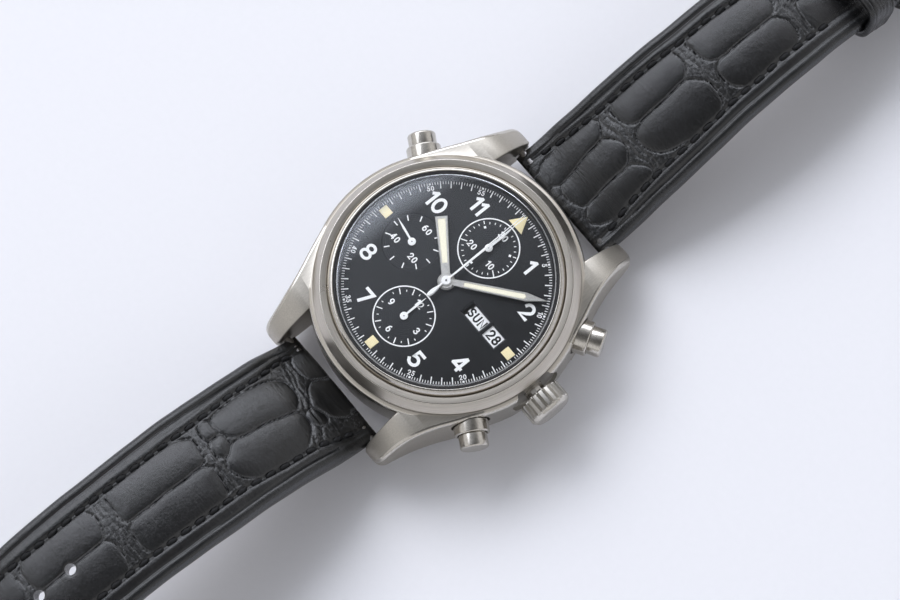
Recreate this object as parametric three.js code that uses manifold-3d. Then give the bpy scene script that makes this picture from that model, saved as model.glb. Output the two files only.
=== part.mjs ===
// A mechanical split-seconds chronograph wristwatch with a leather strap, modelled as it would come
// apart on a watchmaker's bench. Units are millimetres. The origin is the centre of the case back's
// flat outer face: +Z points out through the dial, +Y to 12 o'clock and +X to the crown at 3 o'clock.
import * as THREE from "three";
import { mergeVertices } from "three/addons/utils/BufferGeometryUtils.js";
import Module from "manifold-3d";

const wasm = await Module();
wasm.setup();

// ---- Driving dimensions -------------------------------------------------------------------------

// Case.
const CASE_R = 21.2;
const CASE_FLOOR_Z = 1.7;
const CASE_TOP_Z = 12.1;
const CASE_BORE_R = 17.2;
const BEZEL_R = 20.3;
const BEZEL_BORE_R = 17.0;
const OPENING_R = 16.4;
const CRYSTAL_R = 16.7;
const CRYSTAL_EDGE_Z = 14.8;
const CRYSTAL_TOP_Z = 16.2;
const CRYSTAL_THICK = 0.85;
const BACK_THICK = 1.6;
const BACK_R = 18.4;

// Lugs and spring bars.
const LUG_INNER_X = 10.5;
const LUG_TIP_Y = 25.1;
const BAR_Y = 23.3;
const BAR_Z = 5.3;
const BAR_R = 0.75;
const BAR_TIP_R = 0.45;

// Crown and push-pieces: their axes lie in one plane, and run out from the centre.
const AXIS_Z = 8.9;
const CROWN_R = 3.45;
const CROWN_IN = 21.5;
const CROWN_OUT = 25.2;
const CROWN_FLUTES = 20;
const STEM_R = 0.6;
const STEM_IN = 11.7;
const PUSHER_R = 2.0;
const PUSHER_OUT = 25.2;
const COLLAR_R = 2.5;
const COLLAR_OUT = 23.0;
const START_ANGLE = 30;
const RESET_ANGLE = -30;
const SPLIT_ANGLE = 150;

// Dial, discs and hands.
const DIAL_Z = 12.9;
const DIAL_THICK = 0.4;
const DIAL_R = 16.3;
const SUBDIAL_FROM_CENTRE = 8.25;
const SUBDIAL_R = 4.6;
const DAY_WINDOW = { from: 5.1, to: 9.0 };
const DATE_WINDOW = { from: 9.8, to: 12.4 };
const WINDOW_HALF_Y = 1.0;
const DISC_THICK = 0.3;
const DAY_DISC_Z = 11.95;
const DAY_DISC_X = 2.0;
const DATE_DISC_Z = 11.5;
const HOUR_CLOCK_DEG = 305;
const MINUTE_CLOCK_DEG = 51.8;
const RUNNING_CLOCK_DEG = 280;
const HOUR_HAND_LENGTH = 10.3;
const MINUTE_HAND_LENGTH = 15.6;
const SWEEP_HAND_LENGTH = 15.6;
const SUB_HAND_LENGTH = 4.3;
const SUB_HAND_Z = 13.05;
const HOUR_HAND_Z = 13.25;
const MINUTE_HAND_Z = 13.5;
const CHRONO_HAND_Z = 13.75;
const SPLIT_HAND_Z = 13.95;

// Each sweep hand's hub, pipe and bore radii, and how deep its pipe reaches.
const HOUR_PIPE = { hub: 1.5, outer: 1.15, bore: 0.92, to: 12.0 };
const CANNON = { hub: 1.3, outer: 0.85, bore: 0.58, to: 11.4 };
const CHRONO_PIPE = { hub: 1.0, outer: 0.5, bore: 0.3, to: 5.25 };
const SPLIT_ARBOR = { hub: 0.8, outer: 0.22, bore: 0, to: 4.65 };

// Movement: layers from the main plate down to the rotor.
const MOVEMENT_R = 14.9;
const PLATE_Z = 9.6;
const PLATE_THICK = 1.7;
const BRIDGE_Z = 5.9;
const BRIDGE_THICK = 0.7;
const TOP_BRIDGE_Z = 3.8;
const ROTOR_Z = 2.2;
const BALANCE_R = 3.8;
const WHEEL_THICK = 0.2;

// Gear train: teeth and modules.
const MODULE_BARREL = 0.4;
const MODULE_CENTRE = 0.24;
const MODULE_THIRD = 0.187;
const MODULE_FOURTH = 0.138;
const TEETH = { barrel: 28, centre: 40, third: 45, fourth: 60, escape: 20 };
const LEAVES = { centre: 6, third: 5, fourth: 6, escape: 5 };

// Strap.
const STRAP_LUG_WIDTH = 20.5;
const STRAP_END_WIDTH = 17.8;
const STRAP_BAR_THICK = 2.7;
const BUCKLE_BAR = { y: 97.3, z: 1.9 };
const STRAP_TIP_Y = 131;
const STRAP_HOLE_R = 0.95;
const STRAP_HOLE_PITCH_Y = 5.81;
const STRAP_HOLES = 7;
const KEEPER_LENGTH = 5;
const BUCKLE_INNER_X = 9.3;
const BUCKLE_LEG = 1.9;

const RING_STEPS = 48;
const HIDDEN_STEPS = 30;
const SMALL_STEPS = 12;
const CLEAR = 0.3;

const STEEL = { color: 0xaaa39a, roughness: 0.32, metalness: 1 };
const POLISHED = { color: 0xd0ccc6, roughness: 0.12, metalness: 1 };
const BRASS = { color: 0xb89a58, roughness: 0.35, metalness: 1 };
const RHODIUM = { color: 0xb8b8ba, roughness: 0.3, metalness: 1 };
const RUBBER = { color: 0x1a1a1b, roughness: 0.8, metalness: 0 };
const BLACK_MATT = { color: 0x1b1c1e, roughness: 0.7, metalness: 0 };
const WHITE_PAINT = { color: 0xf2f1ec, roughness: 0.6, metalness: 0 };
const LEATHER = { color: 0x17171a, roughness: 0.45, metalness: 0 };
const SAPPHIRE = { color: 0xe8eef2, roughness: 0.02, metalness: 0, transparent: true, opacity: 0.3 };

const rad = THREE.MathUtils.degToRad;
const watch = new THREE.Group();

// ---- Shape helpers --------------------------------------------------------------------------------

function toSolid(geometry) {
  const bare = geometry.clone();
  bare.deleteAttribute("normal");
  bare.deleteAttribute("uv");
  const merged = mergeVertices(bare, 1e-4);
  const corners = merged.index.array;
  const kept = [];
  for (let i = 0; i < corners.length; i += 3) {
    const [a, b, c] = [corners[i], corners[i + 1], corners[i + 2]];
    if (a !== b && b !== c && c !== a) kept.push(a, b, c);
  }
  const mesh = new wasm.Mesh({
    numProp: 3,
    vertProperties: merged.attributes.position.array,
    triVerts: new Uint32Array(kept),
  });
  return new wasm.Manifold(mesh);
}

function toGeometry(solid) {
  const mesh = solid.getMesh();
  const geometry = new THREE.BufferGeometry();
  geometry.setAttribute("position", new THREE.BufferAttribute(mesh.vertProperties, 3));
  geometry.setIndex(new THREE.BufferAttribute(mesh.triVerts, 1));
  geometry.computeVertexNormals();
  return geometry;
}

function cut(geometry, ...tools) {
  return toGeometry(tools.reduce((solid, tool) => solid.subtract(toSolid(tool)), toSolid(geometry)));
}

function join(geometry, ...others) {
  return toGeometry(others.reduce((solid, other) => solid.add(toSolid(other)), toSolid(geometry)));
}

function common(geometry, other) {
  return toGeometry(toSolid(geometry).intersect(toSolid(other)));
}

// Adds one named piece to the watch.
function piece(name, geometry, finish, place = [0, 0, 0], turnZ = 0) {
  const mesh = new THREE.Mesh(geometry, new THREE.MeshStandardMaterial(finish));
  mesh.name = name;
  mesh.position.set(...place);
  mesh.rotation.z = turnZ;
  watch.add(mesh);
}

function signedArea(points) {
  let sum = 0;
  points.forEach(([x, y], i) => {
    const [nextX, nextY] = points[(i + 1) % points.length];
    sum += x * nextY - nextX * y;
  });
  return sum / 2;
}

// A solid of revolution about Z from [radius, height] points, closed on itself or on the axis.
function turned(profile, steps = RING_STEPS) {
  const points = signedArea(profile) < 0 ? [...profile].reverse() : [...profile];
  const onAxis = points.findIndex(([r], i) => r === 0 && points[(i + points.length - 1) % points.length][0] === 0);
  const ordered = onAxis < 0
    ? [...points, points[0]]
    : [...points.slice(onAxis), ...points.slice(0, onAxis)];
  const outline = ordered.map(([r, z]) => new THREE.Vector2(r, z));
  return new THREE.LatheGeometry(outline, steps).rotateX(Math.PI / 2);
}

// A plain disc or ring between two heights.
function ring(outer, inner, low, high, steps = RING_STEPS) {
  return turned([[inner, low], [outer, low], [outer, high], [inner, high]], steps);
}

function disc(radius, low, high, steps = RING_STEPS) {
  return ring(radius, 0, low, high, steps);
}

// The same along +X, for pieces on the crown's or a push-piece's axis: [radius, distance] points.
function turnedAlongX(profile, steps = SMALL_STEPS) {
  return turned(profile, steps).rotateY(Math.PI / 2);
}

function rod(radius, from, to, steps = SMALL_STEPS) {
  return turnedAlongX([[0, from], [radius, from], [radius, to], [0, to]], steps);
}

function shapeOf(points) {
  return new THREE.Shape(points.map(([x, y]) => new THREE.Vector2(x, y)));
}

// A flat plate from an outline in the XY plane.
function plate(shape, low, high, curveSegments = 10) {
  const made = new THREE.ExtrudeGeometry(shape, { depth: high - low, bevelEnabled: false, curveSegments });
  return made.translate(0, 0, low);
}

function box(x0, x1, y0, y1, z0, z1) {
  const made = new THREE.BoxGeometry(x1 - x0, y1 - y0, z1 - z0);
  return made.translate((x0 + x1) / 2, (y0 + y1) / 2, (z0 + z1) / 2);
}

// A side outline in the YZ plane, swept across X between -halfWidth(y) and halfWidth(y).
function acrossX(shape, halfWidth, curveSegments = 6) {
  const made = new THREE.ExtrudeGeometry(shape, { depth: 2, bevelEnabled: false, curveSegments });
  const at = made.attributes.position;
  for (let i = 0; i < at.count; i += 1) {
    const y = at.getX(i);
    at.setXYZ(i, (at.getZ(i) - 1) * halfWidth(y), y, at.getY(i));
  }
  return made;
}

// A round wire along a curve.
function wire(curve, radius, steps, sides = 6) {
  const section = new THREE.Shape();
  section.absarc(0, 0, radius, 0, Math.PI * 2);
  return new THREE.ExtrudeGeometry(section, {
    steps,
    curveSegments: sides / 2,
    bevelEnabled: false,
    extrudePath: curve,
  });
}

// ---- Case -----------------------------------------------------------------------------------------

function lug(sideX, sideY) {
  const side = new THREE.Shape();
  side.moveTo(14, CASE_FLOOR_Z + 0.6);
  side.lineTo(21, 2.9);
  side.quadraticCurveTo(24.6, 3.1, LUG_TIP_Y, 5.0);
  side.quadraticCurveTo(25.2, 6.6, 24.0, 7.6);
  side.quadraticCurveTo(21.4, 10.2, 19.2, 11.2);
  side.quadraticCurveTo(17.6, 11.9, 14, CASE_TOP_Z);
  const wide = 30;
  const flank = acrossX(side, () => wide, 5);
  const plan = new THREE.Shape();
  plan.moveTo(LUG_INNER_X, 13.5);
  plan.lineTo(LUG_INNER_X, LUG_TIP_Y);
  plan.lineTo(12.9, LUG_TIP_Y);
  plan.quadraticCurveTo(13.9, 24.9, 14.1, 23.7);
  plan.quadraticCurveTo(14.7, 18.6, 17.1, 13.6);
  plan.quadraticCurveTo(18.1, 11.4, 19.3, 8.6);
  plan.lineTo(16, 8);
  const made = common(flank, plate(plan, 0, CASE_TOP_Z + 1, 5));
  if (sideX * sideY < 0) {
    made.scale(sideX, sideY, 1);
    made.setIndex([...made.index.array].reverse());
    return made;
  }
  return made.scale(sideX, sideY, 1);
}

// The hole that a tube stands in: a through hole and a wider seat at the flank.
function tubeHole(holeR, seatR, seatFrom, angle) {
  const hole = turnedAlongX([[0, 15], [holeR, 15], [holeR, seatFrom], [seatR, seatFrom], [seatR, 24], [0, 24]]);
  return hole.rotateZ(rad(angle)).translate(0, 0, AXIS_Z);
}

function caseMiddle() {
  const band = turned([
    [CASE_BORE_R, CASE_FLOOR_Z],
    [19.3, CASE_FLOOR_Z],
    [20.5, 2.5],
    [21.0, 3.8],
    [CASE_R, 6],
    [CASE_R, 9.6],
    [21.1, 11.3],
    [20.75, 11.9],
    [20.45, CASE_TOP_Z],
    [CASE_BORE_R, CASE_TOP_Z],
  ]);
  const lugs = [[1, 1], [-1, 1], [-1, -1], [1, -1]].map(([x, y]) => lug(x, y));
  const solid = join(band, ...lugs);
  const bore = disc(CASE_BORE_R, 0, 15);
  const barHoles = [BAR_Y, -BAR_Y].map((y) =>
    rod(BAR_TIP_R + 0.15, -11.9, 11.9, 10).translate(0, y, BAR_Z));
  const crownSeat = tubeHole(1.6 + CLEAR, 4.3, 20.2, 0);
  const pusherHoles = [START_ANGLE, RESET_ANGLE, SPLIT_ANGLE].map((angle) =>
    tubeHole(1.6 + CLEAR, COLLAR_R + CLEAR, 20.3, angle));
  return cut(solid, bore, ...barHoles, crownSeat, ...pusherHoles);
}

function bezel() {
  return turned([
    [BEZEL_BORE_R, CASE_TOP_Z],
    [BEZEL_R, CASE_TOP_Z],
    [BEZEL_R, 12.3],
    [19.1, 13.9],
    [18.1, 13.8],
    [17.96, 13.6],
    [17.8, 14.3],
    [17.2, 14.9],
    [BEZEL_BORE_R, 14.8],
    [BEZEL_BORE_R, 13.9],
    [OPENING_R, 13.9],
    [OPENING_R, 13.6],
    [BEZEL_BORE_R, 13.6],
  ]);
}

// A shallow dome: the height above its rim of a cap that spans the crystal.
function domeRise(radius) {
  const rise = CRYSTAL_TOP_Z - CRYSTAL_EDGE_Z;
  return rise * (1 - (radius / CRYSTAL_R) ** 2);
}

function crystal() {
  const stations = [CRYSTAL_R, 12.5, 6.5, 0];
  const top = stations.map((r) => [r, CRYSTAL_EDGE_Z + domeRise(r)]);
  const under = stations.map((r) => [r, CRYSTAL_EDGE_Z - CRYSTAL_THICK + domeRise(r)]).reverse();
  return turned([...top, ...under]);
}

function caseBack() {
  return turned([
    [0, 0],
    [15.6, 0],
    [16.4, 0.25],
    [BACK_R, 1.1],
    [BACK_R, BACK_THICK],
    [0, BACK_THICK],
  ]);
}

// The rim that turns down from the inner bezel to the dial's edge.
function rehaut() {
  return turned([
    [15.95, DIAL_Z],
    [16.3, DIAL_Z],
    [16.35, 13.85],
    [16.2, 13.85],
  ]);
}

// ---- Crown and push-pieces ------------------------------------------------------------------------

function crown() {
  const pitch = (Math.PI * 2) / CROWN_FLUTES;
  const outline = [];
  for (let i = 0; i < CROWN_FLUTES; i += 1) {
    const corners = [[-0.34, CROWN_R], [0.34, CROWN_R], [0.5, CROWN_R - 0.42]];
    corners.forEach(([share, r]) => {
      const angle = (i + share) * pitch;
      outline.push([r * Math.cos(angle), r * Math.sin(angle)]);
    });
  }
  const fluted = plate(shapeOf(outline), CROWN_IN, CROWN_OUT).rotateY(Math.PI / 2);
  const form = turnedAlongX([
    [0, CROWN_IN],
    [3.0, CROWN_IN],
    [3.5, CROWN_IN + 0.3],
    [3.5, CROWN_OUT - 0.75],
    [2.9, CROWN_OUT - 0.25],
    [0, CROWN_OUT],
  ], CROWN_FLUTES * 2);
  return cut(common(fluted, form), rod(1.95, CROWN_IN - 1, 24));
}

function tube(outerR, boreR, from, to) {
  return turnedAlongX([[boreR, from], [outerR, from], [outerR, to], [boreR, to]]);
}

function pusherTube() {
  return turnedAlongX([
    [0.7, 18.2],
    [1.6, 18.2],
    [1.6, 20.6],
    [COLLAR_R, 20.6],
    [COLLAR_R, COLLAR_OUT - 0.2],
    [COLLAR_R - 0.2, COLLAR_OUT],
    [PUSHER_R + 0.12, COLLAR_OUT],
    [PUSHER_R + 0.12, 21.2],
    [0.7, 21.2],
  ]);
}

// The cap and its stem are one piece; the cap is hollow for the return spring.
function pusher() {
  return turnedAlongX([
    [0, 15.6],
    [0.5, 15.6],
    [0.5, 24.0],
    [1.5, 24.0],
    [1.5, 22.3],
    [PUSHER_R, 22.3],
    [PUSHER_R, PUSHER_OUT - 0.3],
    [PUSHER_R - 0.3, PUSHER_OUT - 0.05],
    [0, PUSHER_OUT],
  ]);
}

// The spring is drawn at the length it has with the push-piece pressed in.
class Coil extends THREE.Curve {
  constructor(radius, from, to, turns) {
    super();
    Object.assign(this, { radius, from, to, turns });
  }

  getPoint(t, target = new THREE.Vector3()) {
    const angle = t * this.turns * Math.PI * 2;
    const along = this.from + (this.to - this.from) * t;
    return target.set(along, this.radius * Math.cos(angle), this.radius * Math.sin(angle));
  }
}

function pusherSpring() {
  return wire(new Coil(1.0, 22.5, 23.75, 3), 0.14, 21, 4);
}

// ---- Dial and discs -------------------------------------------------------------------------------

const SUBDIALS = {
  minute: [0, SUBDIAL_FROM_CENTRE],
  hour: [0, -SUBDIAL_FROM_CENTRE],
  seconds: [-SUBDIAL_FROM_CENTRE, 0],
};

function dial() {
  const low = DIAL_Z - DIAL_THICK;
  const blank = ring(DIAL_R, 1.35, low, DIAL_Z);
  const windows = [DAY_WINDOW, DATE_WINDOW].map(({ from, to }) =>
    box(from, to, -WINDOW_HALF_Y, WINDOW_HALF_Y, low - 1, DIAL_Z + 1));
  const sinks = Object.values(SUBDIALS).flatMap(([x, y]) => [
    disc(SUBDIAL_R, DIAL_Z - 0.12, DIAL_Z + 1, 28).translate(x, y, 0),
    disc(0.45, low - 1, DIAL_Z + 1, 8).translate(x, y, 0),
  ]);
  return cut(blank, ...windows, ...sinks);
}

// The date ring carries 31 inward teeth, one for each day of the month.
function dateDisc() {
  const outline = new THREE.Shape();
  outline.absarc(0, 0, 13.6, 0, Math.PI * 2);
  const days = 31;
  const inner = [];
  for (let i = 0; i < days; i += 1) {
    const angle = (i * Math.PI * 2) / days;
    const half = Math.PI / days;
    inner.push([9.35 * Math.cos(angle), 9.35 * Math.sin(angle)]);
    inner.push([9.0 * Math.cos(angle + half), 9.0 * Math.sin(angle + half)]);
  }
  outline.holes.push(shapeOf(inner));
  return plate(outline, DATE_DISC_Z, DATE_DISC_Z + DISC_THICK, HIDDEN_STEPS / 2);
}

// The day ring turns on an eccentric boss, clear of the centre pipes and of the counters' arbors.
function dayDisc() {
  const [outer, inner] = [7.15, 3.45];
  const outline = new THREE.Shape();
  outline.absarc(0, 0, outer, 0, Math.PI * 2);
  const steps = 14;
  const teeth = Array.from({ length: steps * 2 }, (_, i) => {
    const r = i % 2 ? inner - 0.25 : inner;
    const angle = (i * Math.PI) / steps;
    return [r * Math.cos(angle), r * Math.sin(angle)];
  });
  outline.holes.push(shapeOf(teeth));
  return plate(outline, DAY_DISC_Z, DAY_DISC_Z + DISC_THICK, HIDDEN_STEPS / 2);
}

// ---- Hands ----------------------------------------------------------------------------------------

// A flat hand pointing along +Y with a hub and a pipe or arbor that runs down to pipeTo.
function hand(halfOutline, z, thick, hubR, pipeR, boreR, pipeTo) {
  const mirrored = halfOutline.filter(([x]) => x > 0).map(([x, y]) => [-x, y]).reverse();
  const blade = plate(shapeOf([...halfOutline, ...mirrored]), z, z + thick);
  const pipe = turned([
    [boreR, pipeTo],
    [pipeR, pipeTo],
    [pipeR, z],
    [hubR, z],
    [hubR, z + thick],
    [boreR, z + thick],
  ], SMALL_STEPS);
  const joined = join(blade, pipe);
  return boreR > 0 ? cut(joined, disc(boreR, z - 1, z + 1, SMALL_STEPS)) : joined;
}

// A parallel hand, a little wider towards its square end.
function hourHand() {
  const outline = [[0, -2.2], [0.5, -2.2], [0.6, 1.2], [0.88, HOUR_HAND_LENGTH], [0, HOUR_HAND_LENGTH]];
  return hand(outline, HOUR_HAND_Z, 0.15, HOUR_PIPE.hub, HOUR_PIPE.outer, HOUR_PIPE.bore, HOUR_PIPE.to);
}

// A parallel hand whose last fifth narrows to a point.
function minuteHand() {
  const outline = [[0, -2.2], [0.45, -2.2], [0.52, 1.2], [0.64, MINUTE_HAND_LENGTH * 0.79], [0, MINUTE_HAND_LENGTH]];
  return hand(outline, MINUTE_HAND_Z, 0.15, CANNON.hub, CANNON.outer, CANNON.bore, CANNON.to);
}

function sweepHand(z, pipe) {
  const outline = [[0, -4.1], [0.45, -3.6], [0.28, -1.4], [0.2, 0], [0.1, SWEEP_HAND_LENGTH], [0, SWEEP_HAND_LENGTH]];
  return hand(outline, z, 0.1, pipe.hub, pipe.outer, pipe.bore, pipe.to);
}

function counterHand(pipeTo) {
  const outline = [[0, -1.2], [0.22, -1.2], [0.2, 0], [0.28, SUB_HAND_LENGTH * 0.6], [0, SUB_HAND_LENGTH]];
  return hand(outline, SUB_HAND_Z, 0.1, 0.6, 0.25, 0, pipeTo);
}

// ---- Movement -------------------------------------------------------------------------------------

// A toothed wheel about Z. Its teeth are pointed, with straight flanks that leave room in the mesh.
function gear(teeth, gearModule, low, high, phase = 0) {
  const pitchR = (teeth * gearModule) / 2;
  const tipR = pitchR + 0.75 * gearModule;
  const rootR = pitchR - 1.15 * gearModule;
  const pitch = (Math.PI * 2) / teeth;
  const outline = [];
  for (let i = 0; i < teeth; i += 1) {
    [[-0.33, rootR], [0, tipR], [0.33, rootR]].forEach(([share, r]) => {
      const angle = (i + phase + share) * pitch;
      outline.push([r * Math.cos(angle), r * Math.sin(angle)]);
    });
  }
  return plate(shapeOf(outline), low, high);
}

function pitchRadius(teeth, gearModule) {
  return (teeth * gearModule) / 2;
}

// The point at given distances from two others, on the left of the way from the first to the second.
function meetingPoint([ax, ay], fromA, [bx, by], fromB) {
  const apart = Math.hypot(bx - ax, by - ay);
  const along = (apart ** 2 + fromA ** 2 - fromB ** 2) / (2 * apart);
  const aside = Math.sqrt(fromA ** 2 - along ** 2);
  const [ux, uy] = [(bx - ax) / apart, (by - ay) / apart];
  return [ax + ux * along - uy * aside, ay + uy * along + ux * aside];
}

function awayFrom([x, y], distance, angle) {
  return [x + distance * Math.cos(rad(angle)), y + distance * Math.sin(rad(angle))];
}

// How far a wheel at b must be turned, in pitches, for a gap of it to face a tooth of the wheel at a.
function meshPhase(teethB, a, b, teethA = 0, phaseA = 0) {
  const toB = Math.atan2(b[1] - a[1], b[0] - a[0]);
  const facing = teethA ? (toB / (Math.PI * 2)) * teethA - phaseA : 0;
  const offset = facing - Math.round(facing);
  const back = ((toB + Math.PI) / (Math.PI * 2)) * teethB;
  return back + 0.5 + offset;
}

const CENTRE = [0, 0];
const FOURTH = SUBDIALS.seconds;
const BARREL = awayFrom(CENTRE, pitchRadius(TEETH.barrel + LEAVES.centre, MODULE_BARREL), 25);
const THIRD = meetingPoint(
  FOURTH, pitchRadius(TEETH.third + LEAVES.fourth, MODULE_THIRD),
  CENTRE, pitchRadius(TEETH.centre + LEAVES.third, MODULE_CENTRE),
);
const ESCAPE = awayFrom(FOURTH, pitchRadius(TEETH.fourth + LEAVES.escape, MODULE_FOURTH), -110);
const BALANCE = [-4.3, -9.0];
const ESCAPE_R = 2.5;
const PALLET_FROM_ESCAPE = 3.3;

function barrel() {
  const body = turned([
    [0.3, 6.75], [0.8, 6.75], [0.8, 7.2], [5.1, 7.2], [5.1, 9.3], [0.8, 9.3], [0.8, 9.5], [0.3, 9.5],
  ], 24);
  return join(body, cut(gear(TEETH.barrel, MODULE_BARREL, 8.5, 9.1), disc(4, 8, 10, 12)));
}

function centreWheel() {
  const pipe = ring(0.75, 0.56, 6.75, 9.5, SMALL_STEPS);
  const wheel = cut(gear(TEETH.centre, MODULE_CENTRE, 6.8, 7.0), disc(0.65, 6, 8, SMALL_STEPS));
  const phase = meshPhase(LEAVES.centre, BARREL, CENTRE, TEETH.barrel);
  const pinion = cut(gear(LEAVES.centre, MODULE_BARREL, 8.4, 9.3, phase), disc(0.65, 8, 10, SMALL_STEPS));
  return join(wheel, pipe, pinion);
}

function trainWheel(teeth, gearModule, z, leaves, leafModule, leafLow, leafHigh, low, phases) {
  const arbor = disc(0.25, low, 9.5, 8);
  const wheel = gear(teeth, gearModule, z, z + WHEEL_THICK, phases.wheel);
  const pinion = gear(leaves, leafModule, leafLow, leafHigh, phases.pinion);
  return join(wheel, arbor, pinion);
}

function escapeWheel() {
  const outline = [];
  for (let i = 0; i < TEETH.escape; i += 1) {
    const pitch = (Math.PI * 2) / TEETH.escape;
    [[0, 1.95], [0.3, ESCAPE_R], [0.35, 1.95]].forEach(([share, r]) => {
      outline.push([r * Math.cos((i + share) * pitch), r * Math.sin((i + share) * pitch)]);
    });
  }
  const phase = meshPhase(LEAVES.escape, FOURTH, ESCAPE, TEETH.fourth);
  return join(
    plate(shapeOf(outline), 8.1, 8.3),
    disc(0.2, 6.75, 9.5, 8),
    gear(LEAVES.escape, MODULE_FOURTH, 8.7, 9.3, phase),
  );
}

// The lever: two pallet arms that straddle the escape wheel and a fork that reaches to the roller.
function palletFork() {
  const lever = shapeOf([
    [-1.4, -2.1], [-1.1, -2.3], [0.1, -0.5], [0.9, -0.22], [2.5, -0.15], [2.9, -0.5], [3.1, -0.35],
    [2.8, 0], [3.1, 0.35], [2.9, 0.5], [2.5, 0.15], [0.9, 0.22], [0.1, 0.5], [-1.1, 2.3], [-1.4, 2.1],
    [-0.4, 0.4], [-0.4, -0.4],
  ]);
  return join(plate(lever, 8.1, 8.3), disc(0.2, 6.75, 9.5, 8));
}

function balanceWheel() {
  const rim = ring(BALANCE_R, BALANCE_R - 0.5, 7.2, 7.7, 24);
  const arm = box(-BALANCE_R + 0.3, BALANCE_R - 0.3, -0.3, 0.3, 7.3, 7.55);
  const cross = box(-0.3, 0.3, -BALANCE_R + 0.3, BALANCE_R - 0.3, 7.3, 7.55);
  const staff = disc(0.2, 6.75, 9.5, 8);
  const roller = disc(0.75, 8.0, 8.4, SMALL_STEPS);
  return join(rim, arm, cross, staff, roller);
}

// A flat spiral, its inner end just clear of the staff and its outer end at the stud.
class Spiral extends THREE.Curve {
  constructor(inner, outer, turns, z) {
    super();
    Object.assign(this, { inner, outer, turns, z });
  }

  getPoint(t, target = new THREE.Vector3()) {
    const r = this.inner + (this.outer - this.inner) * t;
    const angle = t * this.turns * Math.PI * 2;
    return target.set(r * Math.cos(angle), r * Math.sin(angle), this.z);
  }
}

function mainPlate() {
  const blank = ring(MOVEMENT_R, 0.6, PLATE_Z, PLATE_Z + PLATE_THICK, HIDDEN_STEPS);
  const holes = Object.values(SUBDIALS).map(([x, y]) =>
    disc(0.45, PLATE_Z - 1, PLATE_Z + 3, 8).translate(x, y, 0));
  const keylessRecess = rod(1.8, 12.2, 16, 12).translate(0, 0, AXIS_Z);
  return cut(blank, ...holes, keylessRecess);
}

// The bridge that carries the barrel and the train; it is cut away over the balance.
function trainBridge() {
  const top = BRIDGE_Z + BRIDGE_THICK;
  const blank = ring(MOVEMENT_R, 0.6, BRIDGE_Z, top, HIDDEN_STEPS);
  const opening = disc(BALANCE_R + 1.3, BRIDGE_Z - 1, top + 1, 24).translate(...BALANCE, 0);
  const mouth = box(BALANCE[0] - 5, BALANCE[0] + 2, -20, BALANCE[1], BRIDGE_Z - 1, top + 1);
  const holes = [SUBDIALS.minute, SUBDIALS.hour, SUBDIALS.seconds].map(([x, y]) =>
    disc(0.45, BRIDGE_Z - 1, top + 1, 8).translate(x, y, 0));
  const post = ring(14.8, 14.2, top - 0.1, PLATE_Z, HIDDEN_STEPS);
  const posts = cut(post, box(-20, 20, -20, 10.5, 0, 20));
  return join(cut(blank, opening, mouth, ...holes), posts);
}

function balanceCock() {
  const low = BRIDGE_Z;
  const high = BRIDGE_Z + BRIDGE_THICK;
  const outline = new THREE.Shape();
  outline.moveTo(-0.9, 0.9);
  outline.lineTo(0.9, 0.9);
  outline.lineTo(1.3, -3.9);
  outline.lineTo(-1.3, -3.9);
  return join(plate(outline, low, high), box(-1.2, 1.2, -4.7, -4.1, low, PLATE_Z), box(-1.2, 1.2, -4.7, -3.8, low, high));
}

function chronographBridge() {
  const high = TOP_BRIDGE_Z + 0.4;
  const spoke = box(-13.6, 13.6, -2, 2, TOP_BRIDGE_Z, high);
  const hub = disc(4.2, TOP_BRIDGE_Z, high, 24);
  const feet = [-13.6, 12.6].map((x) => box(x, x + 1, -2, 2, TOP_BRIDGE_Z, BRIDGE_Z));
  return cut(join(spoke, hub, ...feet), disc(0.32, 0, 8, 10));
}

// A flat toothed wheel on the long arbor of a sweep hand.
function sweepWheel(teeth, gearModule, low, boreR) {
  return cut(gear(teeth, gearModule, low, low + 0.25), disc(boreR, low - 1, low + 1, 16));
}

// A half-disc weight with a heavy rim, on a hub that turns on the bearing post.
function rotor() {
  const half = new THREE.Shape();
  half.absarc(0, 0, 14.4, Math.PI, Math.PI * 2);
  const web = plate(half, ROTOR_Z + 0.5, ROTOR_Z + 0.9, 7);
  const rim = cut(ring(14.4, 11.9, ROTOR_Z, ROTOR_Z + 1.3, HIDDEN_STEPS), box(-20, 20, 0, 20, 0, 9));
  const hub = disc(2.6, ROTOR_Z + 0.2, ROTOR_Z + 1.2, 16);
  return cut(join(web, rim, hub), disc(1.15, 0, 9, SMALL_STEPS));
}

function movementHolder() {
  const blank = ring(17.1, 15.1, 6, 11.3, HIDDEN_STEPS);
  const paths = [0, START_ANGLE, RESET_ANGLE, SPLIT_ANGLE].map((angle) =>
    rod(1.0, 14, 18, 8).rotateZ(rad(angle)).translate(0, 0, AXIS_Z));
  return cut(blank, ...paths);
}

// ---- Strap ----------------------------------------------------------------------------------------

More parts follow.
